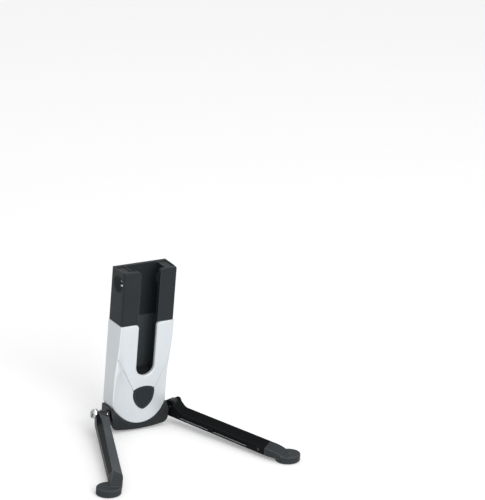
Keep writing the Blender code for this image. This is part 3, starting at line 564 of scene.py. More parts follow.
def bow(start, end, rise):
    """An arc from start to end that stands out by rise, as a move of a trace."""
    chord = end - start
    half = chord.length / 2
    radius = (half * half + rise * rise) / (2 * rise)
    out = Vector((chord.z, 0, -chord.x)).normalized()
    centre = (start + end) / 2 - out * (radius - rise)
    return (centre, math.degrees(2 * math.asin(half / radius)), 16)


def shield(y, grow):
    """The badge's outline: a crowned top and two full sides that meet below."""
    middle = Vector((0, y, (BADGE_SHOULDER + BADGE_TIP) / 2))
    left = Vector((-BADGE_HALF, y, BADGE_SHOULDER))
    tip = Vector((0, y, BADGE_TIP))
    right = Vector((BADGE_HALF, y, BADGE_SHOULDER))
    scale = 1 + grow / BADGE_HALF
    left, tip, right = [middle + (corner - middle) * scale for corner in (left, tip, right)]
    sides = (bow(left, tip, BADGE_BULGE), bow(tip, right, BADGE_BULGE), bow(right, left, BADGE_CROWN))
    return trace(left, sides)


slot_moves = (
    [(SLOT_MOUTH, 0, SHELL_TOP)],
    ((SLOT_MOUTH, 0, SHELL_TOP - SLOT_FLARE), 90, 10),
    [(SLOT_HALF, 0, SLOT_RING)],
    ((0, 0, SLOT_RING), -180, 40),
    [(-SLOT_HALF, 0, SHELL_TOP - SLOT_FLARE)],
    ((-SLOT_MOUTH, 0, SHELL_TOP - SLOT_FLARE), 90, 10),
    [(-SLOT_MOUTH, 0, SHELL_TOP + PAST)],
    [(SLOT_MOUTH, 0, SHELL_TOP + PAST)],
)
slot = thicken(trace((SLOT_MOUTH, 0, SHELL_TOP + PAST), slot_moves), Vector((0, 2 * PAST, 0)))
moved(slot, Vector((0, SHELL_FRONT - PAST, 0)))
shell = thicken(tongue(0.0), Vector((0, SHELL_BACK - SHELL_FRONT, 0)))
moved(shell, Vector((0, SHELL_FRONT, 0)))
pocket = thicken(shield(SHELL_FRONT - PAST, GAP), Vector((0, PAST + BADGE_SEAT, 0)))
behind = SHELL_BACK + PAST
cavity_low = (-CAVITY_HALF, SHELL_FRONT + SHELL_WALL, CAVITY_LOW)
shell = carve(
    shell,
    (CUT, slot),
    (CUT, bar(cavity_low, (CAVITY_HALF, behind, SHELL_TOP + PAST))),
    (CUT, bar((-INNER_HALF, SHELL_FRONT + FALL, CAVITY_LOW), (INNER_HALF, behind, CAVITY_TOP))),
    (CUT, bar((-INNER_HALF, COVER_SEAT, COVER_LOW), (INNER_HALF, behind, CAVITY_TOP))),
    (CUT, pocket),
)
HAIR = 0.00001
FRONT_EDGES = (("outside", SHELL_CORNER, 6), ("slot", 0.0011, 4), ("badge", 0.0002, 2), ("top", 0.0004, 2))


def on_front(edge):
    """True for an edge of the flat front's own border."""
    if any(vert.co.y > SHELL_FRONT + HAIR for vert in edge.verts):
        return False
    return edge.is_manifold and edge.calc_face_angle() > math.radians(45)


def edge_kind(edge):
    """Which border of the front an edge lies on."""
    x = max(abs(vert.co.x) for vert in edge.verts)
    z = min(vert.co.z for vert in edge.verts)
    if z > SHELL_TOP - HAIR:
        return "top"
    if z > CAVITY_LOW and x < SLOT_MOUTH + GAP:
        return "slot"
    if z > BADGE_TIP - BADGE_CROWN and x < SLOT_MOUTH:
        return "badge"
    return "outside"


for kind, width, steps in FRONT_EDGES:
    chosen = [edge for edge in shell.edges if on_front(edge) and edge_kind(edge) == kind]
    rounded(shell, chosen, width, steps)


def slice_front(shape, point, normal):
    """Cuts the flat front along a plane, and nothing behind it."""
    parts = {}
    for face in shape.faces:
        if face.normal.y < -0.999 and face.calc_center_median().y < SHELL_FRONT + 10 * HAIR:
            for part in (face, *face.edges, *face.verts):
                parts[part] = True
    bmesh.ops.bisect_plane(shape, geom=list(parts), dist=0.000001, plane_co=point, plane_no=normal)


FRONT_COLUMNS = (-0.0252, 0.0252, 0.0006)
SHELL_LEVELS = ((0.0090, 0.0510, 0.0012), (0.0515, 0.0670, 0.0005), (0.0680, 0.1040, 0.0015))
v_run = Vector((SHELL_HALF - V_FOOT.x, V_TOP - V_FOOT.y))
v_along = v_run.normalized()
for side in (1, -1):
    foot = Vector((side * V_FOOT.x, SHELL_FRONT, V_FOOT.y))
    across_v = Vector((side * v_along.y, 0, -v_along.x))
    for shift in (-2 * V_HALF, -V_HALF, 0, V_HALF, 2 * V_HALF):
        slice_front(shell, foot + across_v * shift, across_v)
for x in spread(*FRONT_COLUMNS):
    slice_front(shell, (x, 0, 0), (1, 0, 0))
for z in [level for levels in SHELL_LEVELS for level in spread(*levels)]:
    everything = shell.verts[:] + shell.edges[:] + shell.faces[:]
    bmesh.ops.bisect_plane(shell, geom=everything, dist=0.000001, plane_co=(0, 0, z), plane_no=(0, 0, 1))

CORNER_FALLS = (
    (0.0075, 0.0050),
    (0.0270, 0.0056),
    (0.0400, 0.0056),
    (0.0540, 0.0052),
    (0.0600, 0.0046),
    (0.0690, 0.0032),
    (0.0780, 0.0017),
    (0.0880, 0.0006),
    (0.1000, 0.0),
)
FALL_WIDTH = 0.006
FALL_START = 0.55
LINE_TAPER = 0.2
FRONT_CROWN = 0.0014
TIP_FALL = 0.0022
TIP_FROM = 0.030
V_OVERRUN = 0.02
STEP_AT = 0.0019
STEP_HALF = 0.0007
STEP_DEPTH = 0.00018
STEP_TOP = SLOT_RING + 0.004
STEP_FADE = 0.006


def between(table, z):
    """A size read off a table of (height, size), straight from row to row."""
    if z <= table[0][0]:
        return table[0][1]
    for (low, first), (high, second) in zip(table, table[1:]):
        if z <= high:
            return first + (second - first) * (z - low) / (high - low)
    return table[-1][1]


def relief(x, z):
    """How far the front lies behind a flat face: crown, falls, V lines and the step round the slot."""
    line = V_FOOT.x + (z - V_FOOT.y) * v_run.x / v_run.y
    if z < V_FOOT.y:
        line = V_FOOT.x - (V_FOOT.y - z) * LINE_TAPER
    line = min(line, SHELL_HALF - FALL_WIDTH)
    share = max(0.0, (abs(x) - line) / (SHELL_HALF - line))
    depth = between(CORNER_FALLS, z) * share * (FALL_START + (1 - FALL_START) * share)
    depth -= FRONT_CROWN * (1 - (x / SHELL_HALF) ** 2)
    low = max(0.0, (TIP_FROM - z) / (TIP_FROM - SHELL_TIP))
    depth += TIP_FALL * low * low * (1 - share)
    beside = Vector((abs(x) - V_FOOT.x, z - V_FOOT.y))
    along = beside.dot(v_along) / v_run.length
    away = abs(beside.x * v_along.y - beside.y * v_along.x)
    if -V_OVERRUN < along < 1 + V_OVERRUN and away < V_HALF:
        depth += V_DEPTH * (1 - away / V_HALF)
    ring = math.hypot(x, z - SLOT_RING) - SLOT_HALF if z < SLOT_RING else abs(x) - SLOT_HALF
    fade = min(1.0, max(0.0, (STEP_TOP - z) / STEP_FADE))
    if abs(ring - STEP_AT) < STEP_HALF:
        depth += fade * STEP_DEPTH * (1 - abs(ring - STEP_AT) / STEP_HALF)
    return depth


for vert in shell.verts:
    if vert.co.y < SHELL_FRONT + SHELL_CORNER + GAP and vert.co.z < SHELL_TOP - 10 * HAIR:
        vert.co.y += relief(vert.co.x, vert.co.z)
bmesh.ops.recalc_face_normals(shell, faces=shell.faces)


def silver_paint(name):
    """Satin silver paint: a fine metallic fleck under a clear coat, with a little orange peel."""
    material, finish, inputs, place = new_material(name)
    fleck = finish.noise(place, 2600.0, 2.0)
    cloud = finish.noise(place, 30.0, 4.0)
    peel = finish.noise(place, 420.0, 1.0)
    skin = finish.mix(fleck * 0.6 + cloud * 0.4, tone("#cbd1d5"), tone("#dee3e7"))
    # The rounded corners, which look neither straight ahead nor straight aside, are painted paler: a painted
    # highlight.
    backward = finish.parts(finish.add("ShaderNodeTexCoord", output="Normal"))[1]
    slant = abs(backward)
    painted_corner_highlight = finish.step(slant, 0.06, 0.2) * (1 - finish.step(slant, 0.62, 0.78))
    skin = finish.mix(painted_corner_highlight, skin, tone("#f6f8f9"))
    # The V lines are painted darker, a painted shade in the grooves. Lengths are scaled up, because a ramp
    # runs from nought to one.
    spot = finish.parts(place)
    x, z = spot[0], spot[2]
    aside = abs((abs(x) - V_FOOT.x) * v_along.y - (z - V_FOOT.y) * v_along.x) * 500.0
    painted_groove_shade = finish.step(z * 10.0, 10 * V_FOOT.y - 0.02, 10 * V_FOOT.y)
    painted_groove_shade = painted_groove_shade * (1 - finish.step(z * 10.0, 10 * V_TOP, 10 * V_TOP + 0.02))
    painted_groove_shade = painted_groove_shade * finish.step(backward * -1.0, 0.3, 0.5) * (1 - finish.step(aside, 0.09, 0.24))
    finish.plug(finish.mix(painted_groove_shade * 0.5, skin, tone("#7c8286")), inputs["Base Color"])
    finish.plug(0.36 + (cloud - 0.5) * 0.1 + (fleck - 0.5) * 0.08, inputs["Roughness"])
    inputs["Metallic"].default_value = 0.15
    inputs["Specular IOR Level"].default_value = 0.3
    inputs["Coat Weight"].default_value = 0.15
    inputs["Coat Roughness"].default_value = 0.15
    finish.plug(finish.bump(peel, 0.12, 0.00004), inputs["Normal"])
    return material


SILVER = silver_paint("silver_paint")
fit("shell_front", shell, SILVER, "stand_body", "front_shell", smooth=34)

# Badge: a grey moulded shield let into the shell, left bare, with a raised rim.
# It is pressed in from the front and held by glue.
BADGE_FACE = SHELL_FRONT - 0.0006
BADGE_THICK = 0.0028
BADGE_ROUND = 0.0025
BADGE_LIP = 0.0006
BADGE_INSETS = ((0.0010, 0.0), (0.0004, -0.00035))
SHARP = 0.5
badge = thicken(shield(BADGE_FACE, 0.0), Vector((0, BADGE_THICK, 0)))
corners = [e for e in badge.edges if abs(e.verts[0].co.y - e.verts[1].co.y) > BADGE_THICK / 2]
rounded(badge, [e for e in corners if e.calc_face_angle() > SHARP], BADGE_ROUND, 6)
lip = [e for e in badge.edges if all(v.co.y < BADGE_FACE + HAIR for v in e.verts)]
rounded(badge, [e for e in lip if e.calc_face_angle() > SHARP], BADGE_LIP, 4)
for inset, depth in BADGE_INSETS:
    face = max((f for f in badge.faces if f.normal.y < -0.99), key=lambda f: f.calc_area())
    bmesh.ops.inset_region(badge, faces=[face], thickness=inset, depth=depth)
for vert in badge.verts:
    if vert.co.y < BADGE_FACE + BADGE_THICK / 2:
        vert.co.y += relief(vert.co.x, vert.co.z)
BADGE_GREY = moulded(
    "badge_grey",
    tone("#1f2326"),
    tone("#292e31"),
    tone("#5f6569"),
    0.4,
    0.16,
    scale=1300.0,
    depth=0.00002,
)
fit("badge_shield", badge, BADGE_GREY, "stand_body", "badge", smooth=34)

# Channel liner and rest pad: a black nylon tray behind the slot, and a ribbed rubber pad on its
# floor. The tray drops into the shell from behind and the cover holds it there.
LINER_HALF = 0.01815
CHANNEL_HALF = 0.01655
LINER_LOW = 0.0490
LINER_FRONT = -0.0095
LINER_FLOOR = 0.0030
CHANNEL_BACK = 0.0083
channel_low = (-CHANNEL_HALF, LINER_FRONT - PAST, LINER_LOW + LINER_FLOOR)
liner = carve(
    bar((-LINER_HALF, LINER_FRONT, LINER_LOW), (LINER_HALF, COVER_SEAT, SHELL_TOP)),
    (CUT, bar(channel_low, (CHANNEL_HALF, CHANNEL_BACK, SHELL_TOP + PAST))),
)
LINER_BLACK = moulded("liner_black", tone("#3a4043"), tone("#474d51"), tone("#5b6063"), 0.6, 0.15)
fit("liner_tray", liner, LINER_BLACK, "stand_body", "channel_liner", edge=0.0003, steps=2)


def rubber(name, dark, light, edge):
    """Moulded rubber: matte, with a soft bloom and fine pitting."""
    material, finish, inputs, place = new_material(name)
    bloom = finish.noise(place, 70.0, 6.0)
    pits = finish.noise(place, 1100.0, 2.0)
    skin = finish.mix(bloom, dark, light)
    # The edges are painted lighter: a painted highlight.
    finish.plug(finish.mix(finish.edges(0.0009) * 0.8, skin, edge), inputs["Base Color"])
    finish.plug(0.66 + (bloom - 0.5) * 0.2, inputs["Roughness"])
    inputs["Specular IOR Level"].default_value = 0.25
    finish.plug(finish.bump(pits, 0.5, 0.00005), inputs["Normal"])
    return material


PAD_HALF = 0.01615
PAD_FLOOR = 0.0523
PAD_BACK = 0.0079
PAD_TOP = SLOT_LOW
GROOVE_HALF = 0.0005
GROOVE_DEPTH = 0.0008
GROOVE_REACH = 0.015
GROOVE_PITCH = 0.003
rest_pad = bar((-PAD_HALF, LINER_FRONT, PAD_FLOOR), (PAD_HALF, PAD_BACK, PAD_TOP))
grooves = []
for x in spread(-GROOVE_REACH, GROOVE_REACH, GROOVE_PITCH):
    groove_low = (x - GROOVE_HALF, LINER_FRONT - PAST, PAD_TOP - GROOVE_DEPTH)
    groove_high = (x + GROOVE_HALF, PAD_BACK + PAST, PAD_TOP + PAST)
    grooves.append((CUT, bar(groove_low, groove_high)))
rest_pad = carve(rest_pad, *grooves)
PAD_RUBBER = rubber("pad_rubber", tone("#25292b"), tone("#333739"), tone("#45494b"))
fit("rest_pad", rest_pad, PAD_RUBBER, "stand_body", "crank_rest_pad", edge=0.0003, steps=2)

# Rear cover: a painted plate let into the shell's back, with a shallow ribbed panel moulded into
# it, held by four small pan-head screws.
COVER_HALF = 0.0240
COVER_BOTTOM = 0.0300
COVER_TOP = 0.1027
COVER_FACE = 0.0118
COVER_THICK = 0.0016
COVER_SCREW_X = 0.021225
COVER_SCREW_LEVELS = (("low", 0.0380), ("high", 0.0950))
PANEL_HALF = 0.0165
PANEL_LOW = 0.0360
PANEL_HIGH = 0.0967
PANEL_DEPTH = 0.0005
PANEL_ROUND = 0.004
RIB_HALF = 0.0006
RIB_MARGIN = 0.010
RIB_PITCH = 0.0045
RIB_INSET = 0.0025
RIB_SUNK = 0.0001
COVER_BORE = 0.0014
cover = bar((-COVER_HALF, COVER_FACE - COVER_THICK, COVER_BOTTOM), (COVER_HALF, COVER_FACE, COVER_TOP))
panel = bar((-PANEL_HALF, COVER_FACE - PANEL_DEPTH, PANEL_LOW), (PANEL_HALF, COVER_FACE + PAST, PANEL_HIGH))
panel_corners = [e for e in panel.edges if abs(e.verts[0].co.y - e.verts[1].co.y) > PANEL_DEPTH]
rounded(panel, panel_corners, PANEL_ROUND, 6)
cover_steps = [(CUT, panel)]
for z in spread(PANEL_LOW + RIB_MARGIN, PANEL_HIGH - RIB_MARGIN, RIB_PITCH):
    rib_low = (-PANEL_HALF + RIB_INSET, COVER_FACE - 2 * PANEL_DEPTH, z - RIB_HALF)
    rib_high = (PANEL_HALF - RIB_INSET, COVER_FACE - RIB_SUNK, z + RIB_HALF)
    cover_steps.append((JOIN, bar(rib_low, rib_high)))
for side in (1, -1):
    for tag, z in COVER_SCREW_LEVELS:
        x = side * COVER_SCREW_X
        inner_end = (x, COVER_FACE - COVER_THICK - PAST, z)
        cover_steps.append((CUT, rod(inner_end, (x, COVER_FACE + PAST, z), COVER_BORE, sides=32)))
cover = carve(cover, *cover_steps)
fit("cover_plate", cover, SILVER, "stand_body", "rear_cover", edge=0.00025, steps=2)


def turned(points, start, way, steps=48):
    """A turned piece: points of (radius, height) along way from start, spun right round."""
    shape = bmesh.new()
    verts = [shape.verts.new((radius, 0, height)) for radius, height in points]
    edges = [shape.edges.new(pair) for pair in zip(verts, verts[1:])]
    bmesh.ops.spin(
        shape,
        geom=verts + edges,
        cent=(0, 0, 0),
        axis=(0, 0, 1),
        angle=2 * math.pi,
        steps=steps,
        use_merge=True,
    )
    bmesh.ops.remove_doubles(shape, verts=shape.verts, dist=0.000001)
    bmesh.ops.recalc_face_normals(shape, faces=shape.faces)
    facing = Vector(way).to_track_quat("Z", "Y").to_matrix().to_4x4()
    return moved(shape, Matrix.Translation(start) @ facing)


def dome(radius, base, rise, steps):
    """Points of a domed end from its rim up to its middle."""
    points = []
    for i in range(steps):
        angle = math.pi / 2 * i / steps
        points.append((radius * math.cos(angle), base + rise * math.sin(angle)))
    return points + [(0.0, base + rise)]


def plated(name, dark, light, roughness, scale):
    """Plated metal: a slightly uneven bright coat and fine lathe marks; on chrome, painted reflections."""
    material, finish, inputs, place = new_material(name)
    cloud = finish.step(finish.noise(place, scale, 2.0), 0.35, 0.65)
    fine = finish.noise(place, 2200.0, 2.0)
    finish.plug(finish.mix(cloud, dark, light), inputs["Base Color"])
    finish.plug(roughness + (cloud - 0.5) * roughness * 0.6, inputs["Roughness"])
    inputs["Metallic"].default_value = 1.0
    finish.plug(finish.bump(fine, 0.1, 0.00002), inputs["Normal"])
    return material


def hex_socket(centre, way, flats, depth):
    """A six-sided hole of the given width across its flats, cut down from centre against way."""
    centre, way = Vector(centre), Vector(way)
    return rod(centre - way * depth, centre + way * depth, flats / 2 / math.cos(math.pi / 6), sides=6)


ZINC = plated("zinc_steel", tone("#6c6f71"), tone("#939698"), 0.34, 260.0)
PAN_RADIUS = 0.0023
PAN_RISE = 0.0012
PAN_EDGE = 0.0004
PAN_SHANK = 0.00125
PAN_LENGTH = 0.0068
PAN_SOCKET = 0.0015
PAN_SOCKET_DEPTH = 0.0008
pan_points = [(0.0, -PAN_LENGTH), (PAN_SHANK, -PAN_LENGTH), (PAN_SHANK, 0.0), (PAN_RADIUS, 0.0)]
pan_points += dome(PAN_RADIUS, PAN_EDGE, PAN_RISE - PAN_EDGE, 6)
for side, label in ((1, "right"), (-1, "left")):
    for tag, z in COVER_SCREW_LEVELS:
        head = Vector((side * COVER_SCREW_X, COVER_FACE + GAP, z))
        crest = head + Vector((0, PAN_RISE, 0))
        socket = hex_socket(crest, (0, 1, 0), PAN_SOCKET, PAN_SOCKET_DEPTH)
        screw = carve(turned(pan_points, head, (0, 1, 0)), (CUT, socket))
        name = tag + "_" + label
        fit("pan_screw_" + name, screw, ZINC, "stand_body", "cover_screw_" + name)

# Clamp block: charcoal glass-filled nylon, C-shaped, open at the front between two rounded lips.
# A round scoop in each side leads to a clamp screw, and two screws from below fix the block.
BLOCK_HALF = 0.0271
BLOCK_FRONT = -0.0113
BLOCK_BACK = 0.0113
BLOCK_LOW = 0.1058
BLOCK_TOP = 0.1563
BLOCK_CORNER = 0.0021
BLOCK_BROW = 0.0011
LIP = 0.0040
LIP_SLOT = 0.0100
LIP_FLARE = 0.0030
LIP_MOUTH = LIP_SLOT + LIP_FLARE
WALL_BACK = 0.0082
CLAMP_Z = 0.1433
SCOOP = 0.0082
SCOOP_DEPTH = 0.0046
SCOOP_BALL = (SCOOP * SCOOP + SCOOP_DEPTH * SCOOP_DEPTH) / (2 * SCOOP_DEPTH)
RIM_WIDTH = 0.0011
TOP_RECESS = 0.0009
# The bores of pad, insert and screw, each with its two ends and its radius.
CLAMP_BORES = ((0.0130, 0.01935, 0.0053), (0.0160, 0.02215, 0.00465), (0.0210, 0.0270, 0.0033))
block = bar((-BLOCK_HALF, BLOCK_FRONT, BLOCK_LOW), (BLOCK_HALF, BLOCK_BACK, BLOCK_TOP))
uprights = [e for e in block.edges if abs(e.verts[0].co.z - e.verts[1].co.z) > BLOCK_CORNER]
front_uprights = [e for e in uprights if e.verts[0].co.y < 0]
rounded(block, front_uprights, BLOCK_CORNER, 6)
brow_back = BLOCK_FRONT + BLOCK_CORNER + GAP
brow = [e for e in block.edges if all(v.co.z > BLOCK_TOP - GAP and v.co.y < brow_back for v in e.verts)]
rounded(block, [e for e in brow if e.calc_face_angle() > SHARP], BLOCK_BROW, 4)
mouth_moves = (
    [(LIP_MOUTH, 0, BLOCK_TOP)],
    ((LIP_MOUTH, 0, BLOCK_TOP - LIP_FLARE), 90, 12),
    [(LIP_SLOT, 0, BLOCK_LOW - PAST)],
    [(-LIP_SLOT, 0, BLOCK_LOW - PAST)],
    [(-LIP_SLOT, 0, BLOCK_TOP - LIP_FLARE)],
    ((-LIP_MOUTH, 0, BLOCK_TOP - LIP_FLARE), 90, 12),
    [(-LIP_MOUTH, 0, BLOCK_TOP + PAST)],
    [(LIP_MOUTH, 0, BLOCK_TOP + PAST)],
)
mouth = thicken(trace((LIP_MOUTH, 0, BLOCK_TOP + PAST), mouth_moves), Vector((0, 2 * PAST, 0)))
moved(mouth, Vector((0, BLOCK_FRONT - PAST, 0)))
channel_low = (-CHANNEL_HALF, BLOCK_FRONT + LIP, BLOCK_LOW - PAST)
block_steps = [(CUT, bar(channel_low, (CHANNEL_HALF, WALL_BACK, BLOCK_TOP + PAST))), (CUT, mouth)]
for side in (1, -1):
    recess_low = (side * (CHANNEL_HALF + RIM_WIDTH), BLOCK_FRONT + LIP, BLOCK_TOP - TOP_RECESS)
    recess_high = (side * (BLOCK_HALF - RIM_WIDTH), WALL_BACK, BLOCK_TOP + PAST)
    block_steps.append((CUT, bar(recess_low, recess_high)))
    ball = bmesh.new()
    bmesh.ops.create_uvsphere(ball, u_segments=96, v_segments=64, radius=SCOOP_BALL)
    ball_x = side * (BLOCK_HALF - SCOOP_DEPTH + SCOOP_BALL)
    moved(ball, Matrix.Translation((ball_x, 0, CLAMP_Z)) @ Matrix.Rotation(math.pi / 2, 4, "Y"))
    block_steps.append((CUT, ball))
    for start, end, radius in CLAMP_BORES:
        block_steps.append((CUT, rod((side * start, 0, CLAMP_Z), (side * end, 0, CLAMP_Z), radius)))
block = carve(block, *block_steps)
CHARCOAL = moulded("charcoal_nylon", tone("#202427"), tone("#2c3134"), tone("#5c6266"), 0.5, 0.15)
fit("block_clamp", block, CHARCOAL, "stand_body", "clamp_block", edge=0.0005, steps=3)

# Clamp screws: polished steel set screws with a hexagon socket, each in a brass insert pressed
# into the block, with a rubber pressure pad at its inner end.
# The chrome's dark and light patches are painted reflections of a dark and bright surround.
CHROME = plated("bright_chrome", tone("#4d5154"), tone("#f0f2f3"), 0.12, 320.0)
BRASS = plated("brass", tone("#a88a3c"), tone("#c9ab5a"), 0.3, 260.0)
SCREW_RADIUS = 0.0030
SCREW_INNER = 0.01735
SCREW_OUTER = 0.0234
SCREW_SOCKET = 0.0030
SCREW_SOCKET_DEPTH = 0.0022
THREAD_MARGIN = 0.001
THREAD_PITCH = 0.0008
THREAD_HALF = 0.0002
INSERT_INNER = 0.01965
INSERT_OUTER = 0.02185
INSERT_RADIUS = 0.0045
INSERT_BORE = 0.00306
DISC_FACE = 0.01455
DISC_BACK = 0.01705
DISC_RADIUS = 0.0050
DISC_GROOVE = (0.0036, 0.0034, 0.0022, 0.0020)
EASE = 0.0003


def collar(bore, radius, low, high, ease=EASE):
    """Points of a plain ring with its outer corners eased."""
    return [
        (bore, low),
        (radius - ease, low),
        (radius, low + ease),
        (radius, high - ease),
        (radius - ease, high),
        (bore, high),
        (bore, low),
    ]


for side, label in ((1, "right"), (-1, "left")):
    way = Vector((side, 0, 0))
    start = Vector((0, 0, CLAMP_Z))
    threads = [(0.0, SCREW_INNER), (SCREW_RADIUS - 2 * EASE, SCREW_INNER)]
    for ridge in spread(SCREW_INNER + THREAD_MARGIN, SCREW_OUTER - THREAD_MARGIN, THREAD_PITCH):
        threads += [(SCREW_RADIUS, ridge - THREAD_HALF), (SCREW_RADIUS - EASE, ridge + THREAD_HALF)]
    threads += [(SCREW_RADIUS, SCREW_OUTER - EASE), (SCREW_RADIUS - EASE, SCREW_OUTER), (0.0, SCREW_OUTER)]
    socket = hex_socket(start + way * SCREW_OUTER, way, SCREW_SOCKET, SCREW_SOCKET_DEPTH)
    screw = carve(turned(threads, start, way), (CUT, socket))
    fit("set_screw_" + label, screw, CHROME, label + "_screw", "clamp_screw_" + label)
    insert = turned(collar(INSERT_BORE, INSERT_RADIUS, INSERT_INNER, INSERT_OUTER), start, way)
    fit("insert_ring_" + label, insert, BRASS, "stand_body", "clamp_insert_" + label)
    pad_points = [
        (0.0, DISC_BACK),
        (DISC_RADIUS - EASE, DISC_BACK),
        (DISC_RADIUS, DISC_BACK - EASE),
        (DISC_RADIUS, DISC_FACE + 2 * EASE),
        (DISC_RADIUS - 2 * EASE, DISC_FACE),
        (DISC_GROOVE[0], DISC_FACE),
        (DISC_GROOVE[1], DISC_FACE + EASE),
        (DISC_GROOVE[2], DISC_FACE + EASE),
        (DISC_GROOVE[3], DISC_FACE),
        (0.0, DISC_FACE),
    ]
    pad = turned(pad_points, start, way)
    fit("pad_disc_" + label, pad, PAD_RUBBER, label + "_pad", "pressure_pad_" + label)

# Legs: black anodised aluminium bars with a ridge along the top, forked at the root to straddle
# the lug and milled out on the inner side. Each turns on a steel pin, the left one with a polished
# dome. The feet are rubber boots plugged into the legs' ends, turning down to round flat soles.
LEG_SLOPE = math.radians(2.2)
LEG_LENGTH = 0.1075
LEG_HALF = 0.0062
LEG_LOW = -0.0121
LEG_HIGH = -0.0011
LEG_RISE = LEG_HIGH - LEG_LOW
SIDE_REACH = 0.015
OUTER_FALL = 0.0045
INNER_FALL = 0.0040
RIDGE_ROOT = 0.0012
RIDGE_END = 0.0030
FORK_HALF = 0.0035
FORK_REACH = 0.0036
FORK_LOW = -0.022
FORK_HIGH = 0.010
RIDGE_FORK = 0.0046
ROOT_RISE = 0.0046
ROOT_RUN = 0.0150
ROOT_ROUND = 0.0050
ROOT_STEPS = 7
ROOT_PITCH = 0.002
ROOT_LEAST = 0.04
ROOT_SHIFT = 0.0007
TENON_Z = -0.0086
TENON_HALF = 0.0035
TENON_RISE = 0.0020
TENON_LENGTH = 0.012
TENON_ROOT = 0.0012
RIVET_X = 0.1007
RIVET_RADIUS = 0.0013
RIVET_HALF = 0.0060
POCKETS = ((0.0110, 0.0450), (0.0490, 0.0885))
POCKET_LOW = -0.0107
POCKET_HIGH = -0.0063
POCKET_FLOOR = 0.0042
POCKET_ROUND = 0.0014
NUT_RADIUS = 0.0030
NUT_DEPTH = 0.0011
NUT_PLAY = 0.00015
WASHER_RADIUS = 0.0029
WASHER_THICK = 0.0005
WASHER_EASE = 0.0001
WASHERS = (("outer", 0.00285), ("inner", -0.00335))
SOLE_REACH = 0.0160
SOLE_OFFSET = 0.0076
SOLE_RADIUS = 0.0117
SOLE_THICK = 0.0070
SOLE_EASE = 0.0006
TREAD_EASE = 0.0009
TREAD_RISE = 0.0008
NECK_REACH = 0.0176
NECK_OFFSET = 0.0034
NECK_WIDEN = 0.12
SOLE_SHORT = 0.84
SOLE_FORWARD = 0.0009
NECK_PROUD = 0.0002
NECK_RINGS = 14
# Painted light on each leg's inner slope, dark and light tone: lit on the left leg, shaded on the right.
SLOPE_PAINTED_LIGHT = {
    "left": (tone("#33373a"), tone("#595e61")),
    "right": (tone("#070809"), tone("#111315")),
}


def anodised(name, side, rubbing_and_painted_light):
    """Black anodised aluminium with faint lines along the bar, and painted light on its upward inner slope.
    """
    material, finish, inputs, place = new_material(name)
    heading = math.pi / 2 - side * LEG_SPLAY
    lie = {"Vector": place, "Rotation": (0, 0, heading), "Scale": (18.0, 900.0, 900.0)}
    lines = finish.noise(finish.add("ShaderNodeMapping", None, lie), 1.0, 3.0)
    cloud = finish.noise(place, 60.0, 4.0)
    skin = finish.mix(lines * 0.5 + cloud * 0.5, tone("#0b0c0d"), tone("#15181a"))
    facing = finish.add("ShaderNodeTexCoord", output="Normal")
    inward = (side * -math.cos(LEG_SPLAY), -math.sin(LEG_SPLAY), 0.0)
    inner = finish.step(finish.dot(facing, inward), 0.25, 0.35)
    upper = finish.parts(facing)[2]
    # Painted light: the upward inner slope is lit on the left leg and shaded on the right.
    painted_slope_light = inner * finish.step(upper, 0.6, 0.8)
    skin = finish.mix(painted_slope_light, skin, finish.mix(lines * 0.6 + cloud * 0.4, rubbing_and_painted_light[0], rubbing_and_painted_light[1]))
    # Faces that look straight up, which are the lower walls of the pockets, get a painted highlight
    skin = finish.mix(finish.step(upper, 0.95, 0.98), skin, tone("#a4a9ab"))
    # The edges are painted a little lighter: a painted highlight.
    finish.plug(finish.mix(finish.edges(0.0007) * 0.5, skin, tone("#3a3e40")), inputs["Base Color"])
    finish.plug(0.34 + (lines - 0.5) * 0.15 + (cloud - 0.5) * 0.08, inputs["Roughness"])
    inputs["Specular IOR Level"].default_value = 0.05
    finish.plug(finish.bump(lines, 0.15, 0.00003), inputs["Normal"])
    return material


def leg_section(side, x):
    """The leg's cross-section at x along it: flat below, its ridge to the outer side, rising to the pin."""
    run = min(1.0, max(0.0, x / ROOT_RUN))
    near = (1 + math.cos(math.pi * run)) / 2
    high = LEG_HIGH + ROOT_RISE * near
    ridge = RIDGE_ROOT + (RIDGE_END - RIDGE_ROOT) * max(0.0, x / LEG_LENGTH)
    ridge += (RIDGE_FORK - ridge) * near
    middle = Vector((x, 0, (LEG_LOW + high) / 2))
    shrink = math.sqrt(max(ROOT_LEAST, 1 - (min(0.0, x) / ROOT_ROUND) ** 2))
    points = [
        Vector((x, -side * LEG_HALF, LEG_LOW)),
        Vector((x, side * LEG_HALF, LEG_LOW)),
        Vector((x, side * LEG_HALF, high - OUTER_FALL * (1 - near / 2))),
        Vector((x, side * ridge, high)),
        Vector((x, -side * LEG_HALF, high - INNER_FALL)),
    ]
    shift = side * ROOT_SHIFT * (1 - min(1.0, max(0.0, x / LEG_LENGTH)))
    return [Vector((x, point.y + shift, middle.z + (point.z - middle.z) * shrink)) for point in points]


def rivet_bore():
    """The way through a leg and its boot for the rivet."""
    return rod((RIVET_X, -SIDE_REACH, TENON_Z), (RIVET_X, SIDE_REACH, TENON_Z), RIVET_RADIUS + PIN_PLAY)


DARK_STEEL = plated("dark_steel", tone("#1c1e20"), tone("#4a4e51"), 0.34, 260.0)
BOOT_RUBBER = rubber("boot_rubber", tone("#25292b"), tone("#33373a"), tone("#73787b"))
